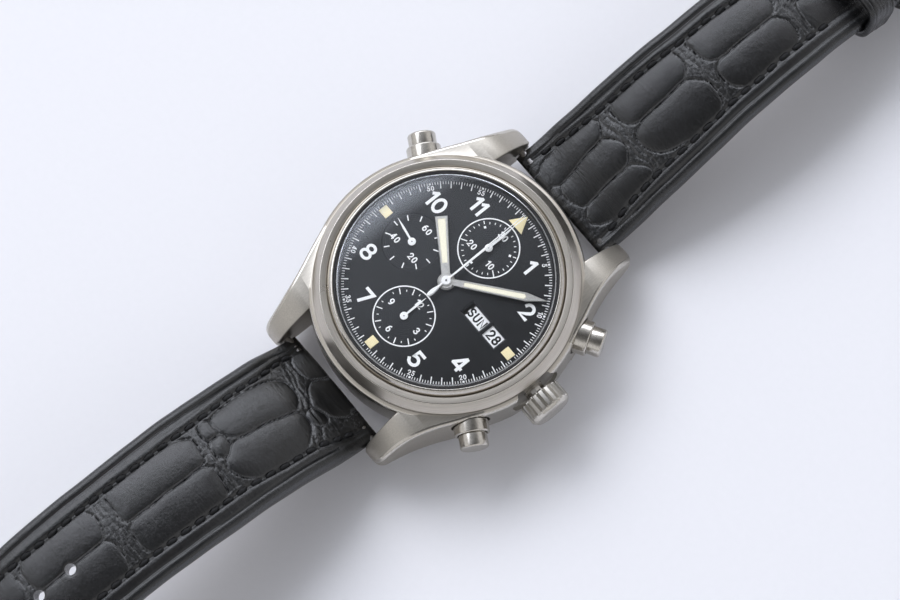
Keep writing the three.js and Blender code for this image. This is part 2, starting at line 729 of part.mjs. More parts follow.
// Each half is a padded ribbon: [y, height of the middle of its thickness, thickness], from its bar.
const STRAP_12 = [
  [BAR_Y, BAR_Z, STRAP_BAR_THICK],
  [26.4, 5.7, 3.2],
  [30.5, 7.0, 4.3],
  [36.6, 9.0, 4.6],
  [43, 10.9, 4.5],
  [50, 12.45, 4.3],
  [57, 13.3, 4.0],
  [63, 13.3, 3.7],
  [70, 12.4, 3.4],
  [78, 10.3, 3.2],
  [87, 6.6, 3.1],
  [93, 3.7, 3.2],
  [BUCKLE_BAR.y, BUCKLE_BAR.z, 3.2],
];
const STRAP_6 = [
  [BAR_Y, BAR_Z, STRAP_BAR_THICK],
  [25.6, 6.4, 3.2],
  [28.4, 8.3, 4.2],
  [31.6, 10.5, 4.7],
  [36.8, 13.0, 4.7],
  [42.9, 15.2, 4.6],
  [50.8, 17.0, 4.3],
  [57.3, 17.8, 4.0],
  [64, 18.2, 3.7],
  [70.2, 18.15, 3.4],
  [80, 16.9, 3.1],
  [92, 13.3, 2.8],
  [105, 8.2, 2.6],
  [118, 3.5, 2.4],
  [126, 1.7, 2.2],
  [STRAP_TIP_Y, 1.3, 2.0],
];
const FLEX_12_Y = 44;
const FLEX_6_Y = 58;

// Height, thickness and slope of a strap half at a distance y from the centre.
function strapAt(stations, y) {
  const curve = new THREE.SplineCurve(stations.map(([sy, sz]) => new THREE.Vector2(sy, sz)));
  let [low, high] = [0, 1];
  for (let i = 0; i < 40; i += 1) {
    const middle = (low + high) / 2;
    if (curve.getPoint(middle).x < y) low = middle;
    else high = middle;
  }
  const point = curve.getPoint(low);
  const tangent = curve.getTangent(low);
  const span = low * (stations.length - 1);
  const i = Math.min(Math.floor(span), stations.length - 2);
  const thick = THREE.MathUtils.lerp(stations[i][2], stations[i + 1][2], span - i);
  return { y: point.x, z: point.y, thick, angle: Math.atan2(tangent.y, tangent.x) };
}

// A strap segment's side outline; a round nose is drawn about its hinge, at the start or the end.
function strapOutline(stations, from, to, noseAtStart, noseAtEnd) {
  const steps = Math.max(4, Math.round((to - from) / 4));
  const marks = [];
  for (let i = 0; i <= steps; i += 1) marks.push(strapAt(stations, from + ((to - from) * i) / steps));
  const side = (mark, sign) => [
    mark.y - Math.sin(mark.angle) * (mark.thick / 2) * sign,
    mark.z + Math.cos(mark.angle) * (mark.thick / 2) * sign,
  ];
  const nose = (mark, start) => [45, 90, 135].map((turn) => {
    const angle = mark.angle + (start ? Math.PI / 2 : -Math.PI / 2) + rad(turn);
    return [mark.y + (mark.thick / 2) * Math.cos(angle), mark.z + (mark.thick / 2) * Math.sin(angle)];
  });
  const top = marks.map((mark) => side(mark, 1)).reverse();
  const under = marks.map((mark) => side(mark, -1));
  return shapeOf([
    ...under,
    ...(noseAtEnd ? nose(marks[steps], false) : []),
    ...top,
    ...(noseAtStart ? nose(marks[0], true) : []),
  ]);
}

function strapHalfWidth(y, endY) {
  const share = THREE.MathUtils.clamp((y - 30) / (endY - 42), 0, 1);
  return THREE.MathUtils.lerp(STRAP_LUG_WIDTH, STRAP_END_WIDTH, share) / 2;
}

function barTunnel(y, z) {
  return rod(BAR_R + 0.1, -15, 15, 12).translate(0, y, z);
}

function strap12Inner() {
  const near = strapAt(STRAP_12, FLEX_12_Y);
  const outline = strapOutline(STRAP_12, BAR_Y, FLEX_12_Y - near.thick / 2 - 0.4, true, false);
  const made = acrossX(outline, (y) => strapHalfWidth(y, BUCKLE_BAR.y));
  return cut(made, barTunnel(BAR_Y, BAR_Z));
}

function strap12Outer() {
  const outline = strapOutline(STRAP_12, FLEX_12_Y, BUCKLE_BAR.y, true, true);
  const made = acrossX(outline, (y) => strapHalfWidth(y, BUCKLE_BAR.y));
  const slot = box(-1.35, 1.35, BUCKLE_BAR.y - 2.6, BUCKLE_BAR.y + 4, -2, 8);
  return cut(made, barTunnel(BUCKLE_BAR.y, BUCKLE_BAR.z), slot);
}

function strap6Inner() {
  const near = strapAt(STRAP_6, FLEX_6_Y);
  const outline = strapOutline(STRAP_6, BAR_Y, FLEX_6_Y - near.thick / 2 - 0.4, true, false);
  const made = acrossX(outline, (y) => strapHalfWidth(y, STRAP_TIP_Y));
  return cut(made, barTunnel(BAR_Y, BAR_Z)).rotateZ(Math.PI);
}

// The tail narrows to a rounded point over its last stretch, and carries the buckle holes.
function strap6Outer() {
  const pointLength = 9;
  const outline = strapOutline(STRAP_6, FLEX_6_Y, STRAP_TIP_Y, true, false);
  const made = acrossX(outline, (y) => {
    const intoPoint = THREE.MathUtils.clamp((y - STRAP_TIP_Y + pointLength) / pointLength, 0, 1);
    return strapHalfWidth(y, STRAP_TIP_Y) * Math.sqrt(1 - 0.93 * intoPoint ** 2.2);
  });
  const firstHoleY = 70.2;
  const holes = Array.from({ length: STRAP_HOLES }, (_, i) => {
    const mark = strapAt(STRAP_6, firstHoleY + i * STRAP_HOLE_PITCH_Y);
    const punch = disc(STRAP_HOLE_R, -4, 4, 8).rotateX(mark.angle);
    return punch.translate(0, mark.y, mark.z);
  });
  return cut(made, ...holes).rotateZ(Math.PI);
}

// A leather loop around the strap, open enough above it for the other half's tail.
function keeper(y) {
  const mark = strapAt(STRAP_12, y);
  const half = strapHalfWidth(y, BUCKLE_BAR.y);
  const wall = 1.1;
  const side = half + 0.4;
  const low = -mark.thick / 2 - 0.8;
  const high = mark.thick / 2 + 2.4;
  const outer = box(-side - wall, side + wall, -KEEPER_LENGTH / 2, KEEPER_LENGTH / 2, low - wall, high + wall);
  const inner = box(-side, side, -KEEPER_LENGTH, KEEPER_LENGTH, low, high);
  return cut(outer, inner).rotateX(mark.angle).translate(0, mark.y, mark.z);
}

function springBar(length) {
  const half = length / 2;
  const shoulder = half - 1.1;
  return turnedAlongX([
    [0, -half], [BAR_TIP_R, -half], [BAR_TIP_R, -shoulder], [BAR_R, -shoulder],
    [BAR_R, shoulder], [BAR_TIP_R, shoulder], [BAR_TIP_R, half], [0, half],
  ], 12);
}

function buckleFrame() {
  const outerX = BUCKLE_INNER_X + BUCKLE_LEG;
  const shape = new THREE.Shape();
  shape.moveTo(-outerX, -1.5);
  shape.lineTo(-BUCKLE_INNER_X, -1.5);
  shape.lineTo(-BUCKLE_INNER_X, 8.2);
  shape.quadraticCurveTo(-BUCKLE_INNER_X, 9.8, -7.6, 9.9);
  shape.quadraticCurveTo(0, 10.5, 7.6, 9.9);
  shape.quadraticCurveTo(BUCKLE_INNER_X, 9.8, BUCKLE_INNER_X, 8.2);
  shape.lineTo(BUCKLE_INNER_X, -1.5);
  shape.lineTo(outerX, -1.5);
  shape.lineTo(outerX, 9.6);
  shape.quadraticCurveTo(outerX, 12.3, 8.0, 12.7);
  shape.quadraticCurveTo(0, 13.6, -8.0, 12.7);
  shape.quadraticCurveTo(-outerX, 12.3, -outerX, 9.6);
  const made = plate(shape, -1.0, 1.0, 6);
  return cut(made, rod(BAR_TIP_R + 0.1, -10.4, 10.4, 10));
}

function buckleTongue() {
  const side = new THREE.Shape();
  side.moveTo(-1.4, 0);
  side.quadraticCurveTo(-1.3, -1.35, 0, -1.4);
  side.quadraticCurveTo(1.3, -1.3, 1.6, 0);
  side.lineTo(8.6, 1.1);
  side.lineTo(13.2, 1.1);
  side.lineTo(13.3, 1.7);
  side.lineTo(8.4, 2.1);
  side.lineTo(0.6, 1.4);
  side.quadraticCurveTo(-1.2, 1.4, -1.4, 0);
  return cut(acrossX(side, () => 1.0, 4), rod(BAR_R + 0.1, -3, 3, 12));
}

// ---- Assembly -------------------------------------------------------------------------------------

piece("case_middle", caseMiddle(), STEEL);
piece("bezel", bezel(), POLISHED);
piece("crystal", crystal(), SAPPHIRE);
piece("crystal_gasket", ring(BEZEL_BORE_R - 0.02, CRYSTAL_R + 0.02, 14.0, 14.7), RUBBER);
piece("rehaut_ring", rehaut(), BLACK_MATT);
piece("case_back", caseBack(), STEEL);
piece("case_back_gasket", ring(18.1, 17.5, BACK_THICK, CASE_FLOOR_Z, HIDDEN_STEPS), RUBBER);
piece("soft_iron_cover", disc(16.6, BACK_THICK, BACK_THICK + 0.3, HIDDEN_STEPS), RHODIUM);

const crownPlace = [0, 0, AXIS_Z];
piece("crown", crown(), POLISHED, crownPlace);
piece("crown_tube", tube(1.6, 0.8, 17.9, 23.6), STEEL, crownPlace);
piece("winding_stem", rod(STEM_R, STEM_IN, 24, 12), STEEL, crownPlace);
piece("winding_pinion", cut(gear(14, 0.2, 12.4, 13.9).rotateY(Math.PI / 2), rod(STEM_R + 0.05, 12, 15, 12)),
  STEEL, crownPlace);

const PUSHERS = { start: START_ANGLE, reset: RESET_ANGLE, split: SPLIT_ANGLE };
Object.entries(PUSHERS).forEach(([name, angle]) => {
  piece(`${name}_pusher_tube`, pusherTube(), POLISHED, crownPlace, rad(angle));
  piece(`${name}_pusher`, pusher(), POLISHED, crownPlace, rad(angle));
  piece(`${name}_pusher_spring`, pusherSpring(), STEEL, crownPlace, rad(angle));
});

piece("dial", dial(), BLACK_MATT);
piece("date_disc", dateDisc(), WHITE_PAINT);
piece("day_disc", dayDisc(), WHITE_PAINT, [DAY_DISC_X, 0, 0]);

piece("hour_hand", hourHand(), POLISHED, [0, 0, 0], -rad(HOUR_CLOCK_DEG));
piece("minute_hand", minuteHand(), POLISHED, [0, 0, 0], -rad(MINUTE_CLOCK_DEG));
piece("chrono_seconds_hand", sweepHand(CHRONO_HAND_Z, CHRONO_PIPE), WHITE_PAINT);
piece("split_seconds_hand", sweepHand(SPLIT_HAND_Z, SPLIT_ARBOR), WHITE_PAINT);
piece("running_seconds_hand", counterHand(PLATE_Z + 0.2), WHITE_PAINT, [...SUBDIALS.seconds, 0],
  -rad(RUNNING_CLOCK_DEG));
piece("minute_counter_hand", counterHand(4.9), WHITE_PAINT, [...SUBDIALS.minute, 0]);
piece("hour_counter_hand", counterHand(4.9), WHITE_PAINT, [...SUBDIALS.hour, 0]);

piece("movement_holder", movementHolder(), RHODIUM);
piece("main_plate", mainPlate(), BRASS);
piece("train_bridge", trainBridge(), RHODIUM);
piece("chronograph_bridge", chronographBridge(), RHODIUM);
piece("mainspring_barrel", barrel(), BRASS, [...BARREL, 0]);
piece("centre_wheel", centreWheel(), BRASS);
const thirdPinionPhase = meshPhase(LEAVES.third, CENTRE, THIRD, TEETH.centre);
piece("third_wheel", trainWheel(TEETH.third, MODULE_THIRD, 7.7, LEAVES.third, MODULE_CENTRE, 6.72, 7.3, 6.72,
  { wheel: 0, pinion: thirdPinionPhase }), BRASS, [...THIRD, 0]);
const fourthPinionPhase = meshPhase(LEAVES.fourth, THIRD, FOURTH, TEETH.third);
piece("fourth_wheel", trainWheel(TEETH.fourth, MODULE_FOURTH, 8.9, LEAVES.fourth, MODULE_THIRD, 7.5, 8.1, 6.75,
  { wheel: 0, pinion: fourthPinionPhase }), BRASS, [...FOURTH, 0]);
piece("escape_wheel", escapeWheel(), STEEL, [...ESCAPE, 0]);
const towardsBalance = Math.atan2(BALANCE[1] - ESCAPE[1], BALANCE[0] - ESCAPE[0]);
const pallet = awayFrom(ESCAPE, PALLET_FROM_ESCAPE, THREE.MathUtils.radToDeg(towardsBalance));
piece("pallet_fork", palletFork(), STEEL, [...pallet, 0], towardsBalance);
piece("balance_wheel", balanceWheel(), BRASS, [...BALANCE, 0]);
piece("balance_spring", wire(new Spiral(0.5, 2.2, 4, 6.95), 0.06, 36, 4), STEEL, [...BALANCE, 0]);
const outwards = Math.atan2(BALANCE[1], BALANCE[0]) + Math.PI / 2;
piece("balance_cock", balanceCock(), RHODIUM, [...BALANCE, 0], outwards);
piece("chrono_wheel", sweepWheel(32, 0.28, 5.3, 0.52), BRASS);
piece("split_wheel", sweepWheel(28, 0.26, 4.7, 0.24), BRASS);
piece("rotor", rotor(), RHODIUM);
piece("rotor_bearing", turned([
  [0, 2.1], [1.6, 2.1], [1.6, 2.3], [1.05, 2.3], [1.05, 3.5], [1.6, 3.5], [1.6, TOP_BRIDGE_Z], [0, TOP_BRIDGE_Z],
], SMALL_STEPS), STEEL);

piece("spring_bar_12", springBar(22.6), STEEL, [0, BAR_Y, BAR_Z]);
piece("spring_bar_6", springBar(22.6), STEEL, [0, -BAR_Y, BAR_Z]);
piece("strap_12_inner", strap12Inner(), LEATHER);
piece("strap_12_outer", strap12Outer(), LEATHER);
piece("strap_6_inner", strap6Inner(), LEATHER);
piece("strap_6_outer", strap6Outer(), LEATHER);
piece("free_keeper", keeper(77.5), LEATHER);
piece("fixed_keeper", keeper(86.5), LEATHER);
const bucklePlace = [0, BUCKLE_BAR.y, BUCKLE_BAR.z];
piece("buckle_bar", springBar(20.4), STEEL, bucklePlace);
piece("buckle_frame", buckleFrame(), POLISHED, bucklePlace);
piece("buckle_tongue", buckleTongue(), POLISHED, bucklePlace);

export default watch;
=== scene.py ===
"""The looks of a chronograph wristwatch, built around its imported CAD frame.

All sizes below are millimetres in the frame's own axes: the dial faces +Z, 12 o'clock is +Y, the crown is on +X.
"""

import math

import bmesh
import bpy
import numpy as np
from mathutils import Matrix, Vector


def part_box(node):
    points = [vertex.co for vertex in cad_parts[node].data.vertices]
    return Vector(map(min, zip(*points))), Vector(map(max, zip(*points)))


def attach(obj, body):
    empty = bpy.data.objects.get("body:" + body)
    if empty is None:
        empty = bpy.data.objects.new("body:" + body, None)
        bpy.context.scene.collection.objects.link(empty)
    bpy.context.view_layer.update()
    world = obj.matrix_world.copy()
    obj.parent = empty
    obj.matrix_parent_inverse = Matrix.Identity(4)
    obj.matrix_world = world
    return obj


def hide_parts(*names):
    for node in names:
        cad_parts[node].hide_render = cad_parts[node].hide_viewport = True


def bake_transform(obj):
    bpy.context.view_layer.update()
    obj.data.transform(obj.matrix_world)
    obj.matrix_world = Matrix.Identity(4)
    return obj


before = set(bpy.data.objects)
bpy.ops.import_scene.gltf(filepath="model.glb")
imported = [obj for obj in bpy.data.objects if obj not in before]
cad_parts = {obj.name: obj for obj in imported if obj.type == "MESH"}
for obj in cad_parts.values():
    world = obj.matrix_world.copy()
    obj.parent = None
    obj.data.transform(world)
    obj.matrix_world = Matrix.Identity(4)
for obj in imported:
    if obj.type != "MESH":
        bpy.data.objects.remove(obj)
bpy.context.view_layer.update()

MM = 0.001
STEPS = 256

DIAL_Z = 12.9
SUBDIAL_OFFSET = 8.25
SUBDIAL_R = 4.6
SUBDIAL_DEPTH = 0.12
AXIS_Z = 8.9
PUSHER_ANGLES = {"start_pusher": 30, "reset_pusher": -30, "split_pusher": 150}
HOUR_CLOCK = 305
MINUTE_CLOCK = 51.8
RUNNING_CLOCK = 280
DATE_SHOWN = 28
DAY_DISC_X = 2.0


# ---- Node materials -----------------------------------------------------------------------------------


class Shader:
    """A node material with short calls for the nodes used here."""

    def __init__(self, name):
        self.material = bpy.data.materials.new(name)
        self.material.use_nodes = True
        self.tree = self.material.node_tree
        self.surface = self.tree.nodes["Principled BSDF"]
        self.output = self.tree.nodes["Material Output"]
        self.place = self.node("TexCoord").outputs["Object"]

    def node(self, kind, settings=None, **inputs):
        made = self.tree.nodes.new("ShaderNode" + kind)
        for key, value in (settings or {}).items():
            setattr(made, key, value)
        for key, value in inputs.items():
            self.feed(made, key.replace("_", " "), value)
        return made

    def feed(self, node, socket, value):
        target = node.inputs[socket]
        if isinstance(value, bpy.types.NodeSocket):
            self.tree.links.new(value, target)
        else:
            target.default_value = value

    def set(self, **inputs):
        for key, value in inputs.items():
            self.feed(self.surface, key.replace("_", " "), value)

    def math(self, operation, a, b=0.0):
        made = self.node("Math", {"operation": operation})
        self.feed(made, 0, a)
        self.feed(made, 1, b)
        return made.outputs[0]

    def stretched(self, scale, source=None):
        made = self.node("Mapping")
        self.feed(made, "Vector", source or self.place)
        self.feed(made, "Scale", scale)
        return made.outputs[0]

    def noise(self, vector, detail=4.0, roughness=0.55):
        made = self.node("TexNoise", Vector=vector, Scale=1.0, Detail=detail, Roughness=roughness)
        return made.outputs["Fac"]

    def ramp(self, value, low, high, start=0.0, end=1.0):
        made = self.node("MapRange", {"interpolation_type": "SMOOTHSTEP"})
        for socket, number in zip(range(5), (value, low, high, start, end)):
            self.feed(made, socket, number)
        return made.outputs[0]

    def mix(self, share, a, b):
        made = self.node("Mix", {"data_type": "RGBA"})
        self.feed(made, "Factor", share)
        self.feed(made, 6, a if isinstance(a, bpy.types.NodeSocket) else (*a, 1))
        self.feed(made, 7, b if isinstance(b, bpy.types.NodeSocket) else (*b, 1))
        return made.outputs[2]

    def bump(self, height, depth_mm, strength=1.0, under=None):
        made = self.node("Bump", Height=height, Distance=depth_mm * MM, Strength=strength)
        if under:
            self.feed(made, "Normal", under)
        return made.outputs[0]

    def polar(self, centre=(0, 0)):
        """The point as (distance from the Z axis through the centre, angle, height), in millimetres."""
        moved = self.node("VectorMath", {"operation": "SUBTRACT"})
        self.feed(moved, 0, self.place)
        self.feed(moved, 1, (centre[0] * MM, centre[1] * MM, 0))
        split = self.node("SeparateXYZ", Vector=moved.outputs[0])
        x, y, z = split.outputs
        squares = self.math("ADD", self.math("MULTIPLY", x, x), self.math("MULTIPLY", y, y))
        radius = self.math("MULTIPLY", self.math("SQRT", squares), 1000)
        joined = self.node("CombineXYZ", X=radius, Y=self.math("ARCTAN2", y, x), Z=self.math("MULTIPLY", z, 1000))
        return joined.outputs[0]


def metal(name, colour, roughness, grain="fine", grain_depth=0.002, anisotropic=0.0):
    """Steel or brass: turned about Z, brushed along Y, or only finely scratched."""
    s = Shader(name)
    if grain == "turned":
        lines = s.noise(s.stretched((9, 1.6, 9), s.polar()), 3.0)
    elif grain == "brushed":
        lines = s.noise(s.stretched((9000, 260, 9000)), 3.0)
    else:
        lines = s.noise(s.stretched((2600, 2600, 2600)), 6.0, 0.7)
    cloud = s.noise(s.stretched((170, 170, 170)), 3.0)
    dust = s.ramp(s.noise(s.stretched((1400, 1400, 1400)), 8.0, 0.8), 0.62, 0.8)
    shade = s.mix(s.ramp(lines, 0.3, 0.7), tuple(c * 0.9 for c in colour), tuple(min(1, c * 1.08) for c in colour))
    s.set(Base_Color=shade, Metallic=1.0, Anisotropic=anisotropic)
    rough = s.math("ADD", s.math("MULTIPLY", cloud, roughness * 0.5), roughness * 0.75)
    s.set(Roughness=s.math("ADD", rough, s.math("MULTIPLY", dust, 0.08)))
    if anisotropic:
        s.set(Tangent=s.node("Tangent", {"direction_type": "RADIAL", "axis": "Z"}).outputs[0])
    s.set(Normal=s.bump(lines, grain_depth))
    return s.material


def sapphire(name, clear=True):
    """Clear crystal: its surface reflects, and the light to the dial passes straight through."""
    s = Shader(name)
    smear = s.noise(s.stretched((90, 90, 90)), 4.0)
    shine = s.node("BsdfGlossy", Color=(0.93, 0.96, 1.0, 1))
    s.feed(shine, "Roughness", s.math("MULTIPLY", smear, 0.02))
    through = s.node("BsdfTransparent", Color=(0.985, 0.99, 0.995, 1))
    fresnel = s.node("Fresnel", IOR=1.48 if clear else 1.9)
    share = fresnel.outputs[0]
    if not clear:
        share = s.math("ADD", s.math("MULTIPLY", share, 0.8), 0.3)
    mixed = s.node("MixShader", Fac=share)
    s.feed(mixed, 1, through.outputs[0])
    s.feed(mixed, 2, shine.outputs[0])
    path = s.node("LightPath")
    direct = s.math("MAXIMUM", path.outputs["Is Shadow Ray"], path.outputs["Is Diffuse Ray"])
    final = s.node("MixShader", Fac=direct)
    s.feed(final, 1, mixed.outputs[0])
    s.feed(final, 2, through.outputs[0])
    s.feed(s.output, "Surface", final.outputs[0])
    return s.material


def paint(name, colour, roughness, bump_mm=0.003, speckle=0.06, per_metre=5200):
    """Printed ink, lacquer or luminous compound, with a fine uneven surface."""
    s = Shader(name)
    fine = s.noise(s.stretched((per_metre, per_metre, per_metre)), 5.0, 0.65)
    broad = s.noise(s.stretched((600, 600, 600)), 3.0)
    dark = tuple(c * (1 - speckle) for c in colour)
    light = tuple(min(1, c * (1 + speckle)) for c in colour)
    s.set(Base_Color=s.mix(s.ramp(fine, 0.3, 0.7), dark, light))
    s.set(Roughness=s.math("ADD", s.math("MULTIPLY", broad, 0.16), roughness - 0.08))
    s.set(Normal=s.bump(fine, bump_mm))
    return s.material


def record_grooves(name, centre):
    """Matt black lacquer over fine turned rings, for the counters."""
    s = Shader(name)
    rings = s.math("SINE", s.math("MULTIPLY", s.node("SeparateXYZ", Vector=s.polar(centre)).outputs[0], 21))
    fine = s.noise(s.stretched((4200, 4200, 4200)), 4.0)
    s.set(Base_Color=s.mix(s.ramp(rings, -1, 1), (0.009, 0.010, 0.012), (0.017, 0.018, 0.021)))
    s.set(Roughness=s.math("ADD", s.math("MULTIPLY", fine, 0.15), 0.38))
    s.set(Normal=s.bump(rings, 0.012, 0.8))
    return s.material


def leather(name, base, worn, grain=1.0, roughness=0.42):
    """Hide: fine pores and wrinkles, with paler rubbed rims where the mesh carries its wear attribute."""
    s = Shader(name)
    pores = s.node("TexVoronoi", {"feature": "F1"}, Vector=s.stretched((3600, 2600, 3600)), Scale=1.0)
    wrinkle = s.noise(s.stretched((520, 3900, 1300)), 5.0, 0.62)
    across = s.noise(s.stretched((900, 300, 500)), 5.0, 0.7)
    cloud = s.noise(s.stretched((240, 240, 240)), 4.0)
    wear = s.node("Attribute", {"attribute_name": "wear"}).outputs["Fac"]
    patchy = s.math("MULTIPLY", wear, s.ramp(s.noise(s.stretched((700, 900, 700)), 5.0, 0.7), 0.3, 0.62, 0.15, 1.0))
    tone = s.mix(s.ramp(cloud, 0.35, 0.7), tuple(c * 0.72 for c in base), tuple(c * 1.3 for c in base))
    fine_line = s.ramp(wrinkle, 0.60, 0.72)
    tone = s.mix(s.math("MULTIPLY", fine_line, 0.25), tone, tuple(c * 2.4 for c in base))
    s.set(Base_Color=s.mix(patchy, tone, worn))
    rough = s.math("ADD", s.math("MULTIPLY", cloud, 0.2), roughness - 0.1)
    s.set(Roughness=s.math("ADD", rough, s.math("MULTIPLY", patchy, 0.15)), Specular_IOR_Level=0.74)
    ridge = s.bump(wrinkle, 0.06 * grain, 0.9)
    ridge = s.bump(across, 0.03 * grain, 0.6, ridge)
    s.set(Normal=s.bump(pores.outputs["Distance"], 0.012 * grain, 0.6, ridge))
    return s.material


def thread(name, colour):
    """Twisted waxed thread."""
    s = Shader(name)
    strands = s.noise(s.stretched((5200, 1500, 5200)), 3.0)
    s.set(Base_Color=s.mix(s.ramp(strands, 0.3, 0.7), tuple(c * 0.5 for c in colour), tuple(c * 1.5 for c in colour)))
    s.set(Roughness=0.62, Specular_IOR_Level=0.35, Normal=s.bump(strands, 0.04))
    return s.material


def striped_bridge(name):
    """Plated movement bridges with broad wave stripes."""
    s = Shader(name)
    x = s.node("SeparateXYZ", Vector=s.place).outputs[0]
    wave = s.math("SINE", s.math("MULTIPLY", x, 2400))
    lines = s.noise(s.stretched((9000, 500, 9000)), 3.0)
    s.set(Base_Color=s.mix(s.ramp(wave, -1, 1), (0.52, 0.50, 0.46), (0.70, 0.68, 0.63)), Metallic=1.0, Roughness=0.3)
    s.set(Normal=s.bump(wave, 0.02, 0.7, s.bump(lines, 0.003)))
    return s.material


def rubber(name):
    s = Shader(name)
    fine = s.noise(s.stretched((4000, 4000, 4000)), 5.0)
    s.set(Base_Color=s.mix(s.ramp(fine, 0.3, 0.7), (0.012, 0.012, 0.013), (0.03, 0.03, 0.032)))
    s.set(Roughness=0.75, Normal=s.bump(fine, 0.01))
    return s.material


STEEL = (0.56, 0.52, 0.46)
HAND_STEEL = metal("hand_steel", (0.88, 0.855, 0.80), 0.5)
TURNED = metal("turned_steel", STEEL, 0.30, "turned", 0.0025, 0.4)
BRUSHED = metal("brushed_steel", (0.50, 0.47, 0.42), 0.38, "brushed", 0.0015)
POLISHED = metal("polished_steel", (0.58, 0.55, 0.50), 0.18)
SATIN = metal("satin_steel", (0.45, 0.43, 0.395), 0.36)
# Dark steel for springs, stems, pinions and needle caps. On the spring bars its darkness is painted shade for the gap
# between strap and lug.
DARK_STEEL_AND_BAR_SHADE = metal("spring_steel", (0.34, 0.33, 0.33), 0.28)
BRASS = metal("movement_brass", (0.72, 0.52, 0.25), 0.27, "turned", 0.002)
BRIDGE = striped_bridge("plated_bridges")
RUBBER = rubber("gasket_rubber")
CRYSTAL = sapphire("sapphire")
CRYSTAL_EDGE = sapphire("sapphire_edge", False)
BLACK = paint("dial_black", (0.010, 0.0105, 0.012), 0.56, 0.0002, 0.05, 2400)
BLACK_RING = paint("ring_black", (0.010, 0.010, 0.011), 0.45, 0.003, 0.2)
FRAME_GREY = paint("window_frame", (0.035, 0.036, 0.040), 0.35, 0.003, 0.1)
WHITE = paint("white_print", (0.96, 0.96, 0.95), 0.5, 0.001, 0.02)
DISC_WHITE = paint("disc_white", (1.0, 1.0, 0.99), 0.55, 0.001, 0.02)
INK = paint("disc_ink", (0.004, 0.004, 0.005), 0.6)
LUME = paint("luminous_cream", (0.99, 0.935, 0.74), 0.62, 0.004, 0.02)
MARKER_LUME = paint("aged_luminous_cream", (1.0, 0.86, 0.52), 0.62, 0.004, 0.02)
HAND_WHITE = paint("hand_white", (0.97, 0.97, 0.96), 0.35, 0.001, 0.02)
LEATHER = leather("strap_leather", (0.0030, 0.0033, 0.004), (0.07, 0.072, 0.077), 1.9, 0.225)
LINING = leather("strap_lining", (0.055, 0.035, 0.022), (0.12, 0.08, 0.05), 0.6, 0.6)
THREAD = thread("strap_thread", (0.005, 0.005, 0.006))


# ---- Mesh helpers -------------------------------------------------------------------------------------


def mesh_piece(name, vertices, faces, materials, indices=None, smooth=True):
    mesh = bpy.data.meshes.new(name)
    points = np.asarray(vertices, float) * MM
    mesh.from_pydata(points.tolist(), [], [list(map(int, f)) for f in faces])
    for material in materials:
        mesh.materials.append(material)
    if indices is not None:
        mesh.polygons.foreach_set("material_index", np.asarray(indices, np.int32))
    mesh.polygons.foreach_set("use_smooth", np.full(len(mesh.polygons), smooth))
    mesh.update()
    made = bpy.data.objects.new(name, mesh)
    bpy.context.scene.collection.objects.link(made)
    return made


def placed(verts, x=0.0, y=0.0, z=0.0, turn=0.0):
    """Points turned clockwise about Z as seen from above by turn degrees, then moved."""
    a = math.radians(-turn)
    v = np.asarray(verts, float)
    out = np.empty_like(v)
    out[:, 0] = v[:, 0] * math.cos(a) - v[:, 1] * math.sin(a) + x
    out[:, 1] = v[:, 0] * math.sin(a) + v[:, 1] * math.cos(a) + y
    out[:, 2] = v[:, 2] + z
    return out


def sharpen(piece, degrees=32):
    """Smooth shading that stops at real edges."""
    piece.data.set_sharp_from_angle(angle=math.radians(degrees))
    return piece


def rounded(points, segments=3):
    """Replaces each corner (a, b, radius) of a closed outline by a small arc; a plain (a, b) corner stays."""
    out = []
    count = len(points)
    for i, point in enumerate(points):
        here = np.array(point[:2], float)
        radius = point[2] if len(point) > 2 else 0
        before = np.array(points[i - 1][:2], float) - here
        after = np.array(points[(i + 1) % count][:2], float) - here
        if radius == 0:
            out.append(tuple(here))
            continue
        reach = min(radius, np.linalg.norm(before) * 0.48, np.linalg.norm(after) * 0.48)
        a = here + before / np.linalg.norm(before) * reach
        b = here + after / np.linalg.norm(after) * reach
        for t in np.linspace(0, 1, segments + 1):
            out.append(tuple((1 - t) ** 2 * a + 2 * t * (1 - t) * here + t * t * b))
    return out


def lathe_mesh(profile, steps=STEPS):
    """Vertices, faces and each face's mid (r, z), for an outline turned about Z. It may touch the axis."""
    rings, verts = [], []
    angles = np.linspace(0, 2 * math.pi, steps, endpoint=False)
    for r, z in profile:
        if r < 1e-6:
            rings.append([len(verts)] * steps)
            verts.append((0, 0, z))
        else:
            rings.append(list(range(len(verts), len(verts) + steps)))
            verts.extend((r * math.cos(a), r * math.sin(a), z) for a in angles)
    faces, mids = [], []
    for i in range(len(profile)):
        j = (i + 1) % len(profile)
        if profile[i][0] < 1e-6 and profile[j][0] < 1e-6:
            continue
        mid = ((profile[i][0] + profile[j][0]) / 2, (profile[i][1] + profile[j][1]) / 2)
        for k in range(steps):
            n = (k + 1) % steps
            loop = [rings[i][k], rings[i][n], rings[j][n], rings[j][k]]
            loop = [v for m, v in enumerate(loop) if v != loop[m - 1]]
            faces.append(loop)
            mids.append(mid)
    area = sum(a[0] * b[1] - b[0] * a[1] for a, b in zip(profile, [*profile[1:], profile[0]]))
    if area < 0:
        faces = [f[::-1] for f in faces]
    return np.array(verts), faces, mids


def turned_piece(name, profile, materials, paint_by=None, steps=STEPS, along_x=False, place=None):
    verts, faces, mids = lathe_mesh(profile, steps)
    if along_x:
        verts = verts[:, [2, 0, 1]]
    if place is not None:
        verts = place(verts)
    indices = [paint_by(*m) for m in mids] if paint_by else None
    return sharpen(mesh_piece(name, verts, faces, materials, indices))


